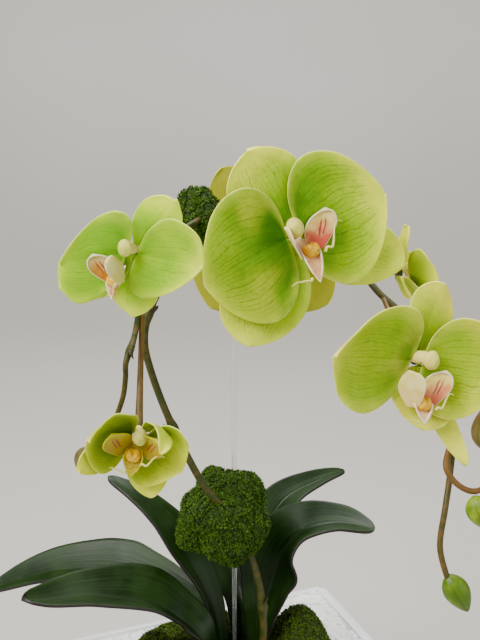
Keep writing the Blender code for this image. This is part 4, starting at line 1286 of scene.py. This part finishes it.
def column(flower):
    """The column: a short stout body from the hub that swells into a hooded end."""
    piece = add_new(bpy.ops.mesh.primitive_uv_sphere_add, segments=24, ring_count=30, radius=1.0)
    size = FLOWERS[flower]["lip"]
    yaw, pitch = (math.radians(angle) for angle in LIPS[flower]["column"])
    seat = (flower_seat(flower) @ Matrix.Rotation(yaw, 4, "Z") @ Matrix.Rotation(pitch, 4, "X")
            @ Matrix.Diagonal((size, size, size, 1.0)))
    for vert in piece.data.vertices:
        x, y, z = vert.co
        share = (z + 1) / 2
        around = math.atan2(y, x)
        body = 3.1 + 0.5 * share + 1.5 * math.exp(-((share - 0.78) / 0.18) ** 2)
        waist = 0.8 * math.exp(-((share - 0.58) / 0.05) ** 2)
        radius = (body - waist) * math.hypot(x, y) ** 0.45
        under = max(0.0, -math.sin(around)) ** 3
        radius -= 1.6 * math.exp(-((share - 0.66) / 0.12) ** 2) * under
        radius += 0.12 * math.sin(26 * share) * (share > 0.62)
        rise = 4.2 * math.sin(share * 1.7) - 3.0 * max(0.0, share - 0.72)
        vert.co = seat @ (Vector((radius * math.cos(around) * 0.94, 5.4 - 17.6 * share,
                                  radius * math.sin(around) * 1.12 + rise)) * MM)
    piece.data.shade_smooth()
    return piece


LIP_RED = tint(142, 22, 44)
STRIPE_DEPTH = 0.9


def lobe_material(name, lip):
    """Side lobe: waxy cream outside; inside flushed at the foot, with two dark red stripes."""
    made, tree, shader = new_material(name, Roughness=0.42, Specular_IOR_Level=0.3)
    across, along = uv_parts(tree)[:2]
    cloud = object_noise(tree, 160.0, 3.0)
    rim = stored(tree, "rim")
    base = dye(tree, rescale(tree, cloud, 0.3, 0.7, 0.0, 0.4), lip["shell"], lip["hem"])
    inside = stored(tree, "inside")
    foot = rescale(tree, plus(tree, along, rescale(tree, cloud, 0.2, 0.8, -0.15, 0.15)),
                   0.10, lip["deep"], 1.0, 0.0)
    foot = times(tree, foot, rescale(tree, inside, 0.0, 1.0, 0.25, 1.0))
    base = dye(tree, foot, base, lip["flush"])
    wander = rescale(tree, object_noise(tree, 420.0, 2.0), 0.2, 0.8, -0.02, 0.02)
    for middle in (0.44, 0.58):
        away = reckon(tree, "ABSOLUTE", reckon(tree, "SUBTRACT",
                                               plus(tree, across, wander), middle))
        line = rescale(tree, away, 0.014, 0.036, 1.0, 0.0)
        span = times(tree, rescale(tree, along, 0.20, 0.26),
                     rescale(tree, along, 0.46, 0.60, 1.0, 0.0))
        line = times(tree, times(tree, line, span),
                     times(tree, inside, STRIPE_DEPTH))
        base = dye(tree, line, base, LIP_RED)
    edge = rescale(tree, rim, 0.0, 0.0008, 0.8, 0.0)
    colour_in(tree, shader, dye(tree, edge, base, lip["hem"]), cloud, (0.36, 0.5))
    emboss(tree, shader, object_noise(tree, 1100.0, 3.0), 0.15, 0.0004)
    return made


def floor_material(name, pale, warm, spotted):
    """Middle lobe: pale at the rim, warm in the trough, speckled dark red."""
    made, tree, shader = new_material(name, Roughness=0.4, Specular_IOR_Level=0.35)
    rim = stored(tree, "rim")
    cloud = object_noise(tree, 220.0, 3.0)
    deep = rescale(tree, rim, 0.0002, 0.0026)
    base = dye(tree, times(tree, deep, rescale(tree, cloud, 0.2, 0.7, 0.5, 1.0)),
               pale, warm)
    dots = cell_distance(tree, 560.0)
    speck = times(tree, rescale(tree, dots, 0.22, 0.34, 1.0, 0.0), spotted)
    speck = times(tree, speck, deep)
    colour_in(tree, shader, dye(tree, speck, base, tint(112, 22, 22)), cloud, (0.34, 0.5))
    emboss(tree, shader, object_noise(tree, 1100.0, 3.0), 0.15, 0.0004)
    return made


def crest_material():
    """Waxy callus: orange-yellow with dark red-brown spots."""
    made, tree, shader = new_material("waxy_crest", Roughness=0.35, Specular_IOR_Level=0.4)
    cloud = object_noise(tree, 300.0, 3.0)
    base = dye(tree, rescale(tree, cloud, 0.35, 0.65), tint(214, 158, 0), tint(232, 190, 0))
    dots = cell_distance(tree, 420.0)
    speck = rescale(tree, dots, 0.16, 0.26, 0.85, 0.0)
    colour_in(tree, shader, dye(tree, speck, base, tint(104, 30, 14)), cloud, (0.28, 0.42))
    emboss(tree, shader, cloud, 0.2, 0.0005)
    return made


def column_material():
    """Column and tendrils: waxy cream-yellow, a little greener towards the far end."""
    made, tree, shader = new_material("waxy_column", Roughness=0.42, Specular_IOR_Level=0.3)
    cloud = object_noise(tree, 260.0, 4.0)
    along = uv_parts(tree)[1]
    base = grades(tree, along, ((0.1, tint(228, 216, 108)), (0.45, tint(234, 222, 124)),
                                (0.8, tint(226, 216, 104)), (1.0, tint(190, 200, 70))))
    base = dye(tree, rescale(tree, cloud, 0.4, 0.7, 0.0, 0.35), base, tint(220, 200, 110))
    colour_in(tree, shader, base, cloud, (0.34, 0.5))
    emboss(tree, shader, object_noise(tree, 900.0, 4.0), 0.25, 0.0005)
    return made


waxy_crest = crest_material()
waxy_column = column_material()
for flower, lip in LIPS.items():
    lobe_skin = lobe_material(flower + "_lobe_skin", lip)
    floor_skin = floor_material(flower + "_lip_floor", lip["hem"], lip["floor"], lip["spots"])
    for side, hand in (("left", -1), ("right", 1)):
        finish_piece(side_lobe(flower, hand), flower + "_lip_" + side + "_lobe", lobe_skin,
                     "lip_cream")
    finish_piece(middle_lobe(flower), flower + "_lip_middle_lobe", floor_skin, "lip_cream",
                 flower + "_lip")
    finish_piece(crest(flower), flower + "_lip_crest", waxy_crest, "lip_cream")
    tails = joined(tendril(flower, 1, RIGHT_TENDRIL), tendril(flower, -1, LEFT_TENDRIL))
    finish_piece(tails, flower + "_lip_tendrils", waxy_column, "lip_cream")
    finish_piece(column(flower), flower + "_column_body", waxy_column, "column_cream",
                 flower + "_column")


# ------------------------------------------------------------------ flower stalks
# Each flower hangs on its own slim stalk, reddish brown where it leaves the spike and greener
# where it swells into the ovary behind the flower.
# flower: line it grows from, distance along that line, first leg, last leg
FLOWER_STALKS = {
    "centre": (SPIKE_ROUTE, 0.405, 0.012, 0.020),
    "right": (SPIKE_ROUTE, 0.500, 0.006, 0.010),
    "rear": (SPIKE_ROUTE, 0.372, 0.012, 0.020),
    "rear_right": (SPIKE_ROUTE, 0.455, 0.003, 0.006),
    "left": (BRANCH_ROUTE, 0.044, 0.010, 0.018),
    "lower_left": (BRANCH_ROUTE, 0.078, 0.012, 0.014),
}
STALK_PARTS = 26
SEARCH_STEP = 0.001
SHARES = [i / STALK_PARTS for i in range(STALK_PARTS + 1)]
for flower, (route, start, first_leg, last_leg) in FLOWER_STALKS.items():
    fine = smooth_route(route, SEARCH_STEP)
    root = fine[min(round(start / SEARCH_STEP), len(fine) - 1)]
    seat = PLANT.inverted() @ flower_seat(flower)
    back = seat.to_3x3() @ Vector((0, 1, 0))
    end = seat @ Vector((0, 0.0015, 0))
    lead = (end + back * last_leg - root).normalized()
    a, b, c, d = root, root + lead * first_leg, end + back * last_leg, end
    line = [a * (1 - u) ** 3 + 3 * b * u * (1 - u) ** 2 + 3 * c * u ** 2 * (1 - u) + d * u ** 3
            for u in SHARES]
    radii = [STALK_RADIUS * (0.95 + 0.75 * u ** 3) for u in SHARES]
    stalk = stalk_piece(flower + "_stalk", line, radii)
    paint_along(stalk, line, [0.95 - 0.9 * u ** 3 for u in SHARES], "ripeness")
    finish_piece(stalk, flower + "_flower_stalk", stalk_skin, "spike_green")


# ------------------------------------------------------------------ buds
# Closed buds, plump and pointed, with the seams where the three sepals will part. One hangs at
# the spike's tip, one beside it, one at the branch tip; the largest stands at the far right.
# name: place of the stalk end, direction, length, radius
BUDS = {
    "bud_right_tip": ((0.0910, -0.1424, 0.2955), (0.50, -0.10, -0.86), 0.0215, 0.0064),
    "bud_right_side": ((0.1045, -0.1310, 0.3315), (0.35, -0.10, -0.93), 0.0180, 0.0064),
    "bud_left_tip": ((-0.0870, -0.0935, 0.3415), (-0.55, 0.0, -1.0), 0.0150, 0.0056),
    "far_bud": ((0.1150, -0.1190, 0.3490), (-0.10, 0.0, 1.0), 0.026, 0.0095),
}


def bud_material(name, skin, flush, tip_brown):
    """Bud skin: waxy green with a warm flush, darker seams and a brown dried tip."""
    made, tree, shader = new_material(name, Roughness=0.42, Specular_IOR_Level=0.3,
                                      Subsurface_Weight=0.1, Subsurface_Scale=0.003)
    along = stored(tree, "along")
    seam = stored(tree, "seam")
    cloud = object_noise(tree, 190.0, 4.0)
    base = dye(tree, rescale(tree, cloud, 0.4, 0.7), skin, flush)
    base = dye(tree, times(tree, seam, 0.6), base, tint(52, 70, 10))
    base = dye(tree, rescale(tree, along, 0.80, 0.99, 0.0, tip_brown), base, tint(70, 42, 24))
    colour_in(tree, shader, base, cloud, (0.32, 0.48))
    emboss(tree, shader, object_noise(tree, 700.0, 3.0), 0.2, 0.0005)
    return made


BUD_SKINS = {
    "bud_right_tip": bud_material("tip_bud_skin", tint(72, 104, 0), tint(96, 124, 0), 0.8),
    "bud_right_side": bud_material("side_bud_skin", tint(92, 124, 0), tint(140, 160, 20), 0.2),
    "bud_left_tip": bud_material("left_bud_skin", tint(92, 92, 34), tint(96, 74, 46), 0.9),
    "far_bud": bud_material("far_bud_skin", tint(120, 104, 50), tint(138, 96, 60), 0.5),
}
for name, (place, direction, length, radius) in BUDS.items():
    bud = add_new(bpy.ops.mesh.primitive_uv_sphere_add, segments=36, ring_count=28, radius=1.0)
    along = bud.data.attributes.new("along", "FLOAT", "POINT")
    seam = bud.data.attributes.new("seam", "FLOAT", "POINT")
    lie = Vector(direction).to_track_quat("Z", "Y").to_matrix().to_4x4()
    for vert in bud.data.vertices:
        share = (vert.co.z + 1) / 2
        around = math.atan2(vert.co.y, vert.co.x)
        groove = math.exp(-((math.cos(1.5 * around)) / 0.16) ** 2)
        fat = math.sin(math.pi * share ** 0.92) ** 0.72 * (1 - 0.22 * share)
        swell = radius * 1.12 * fat * (1 - 0.07 * groove) * (1 + 0.03 * math.cos(3 * around))
        along.data[vert.index].value = share
        seam.data[vert.index].value = groove * math.sin(math.pi * share)
        curve = radius * 0.18 * math.sin(math.pi * share)
        spot = Vector((swell * math.cos(around) + curve, swell * math.sin(around), length * share))
        vert.co = PLANT @ Matrix.Translation(place) @ lie @ spot
    bud.data.shade_smooth()
    nodes = (name,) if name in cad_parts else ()
    finish_piece(bud, name + "_skin", BUD_SKINS[name], "bud_green", *nodes)
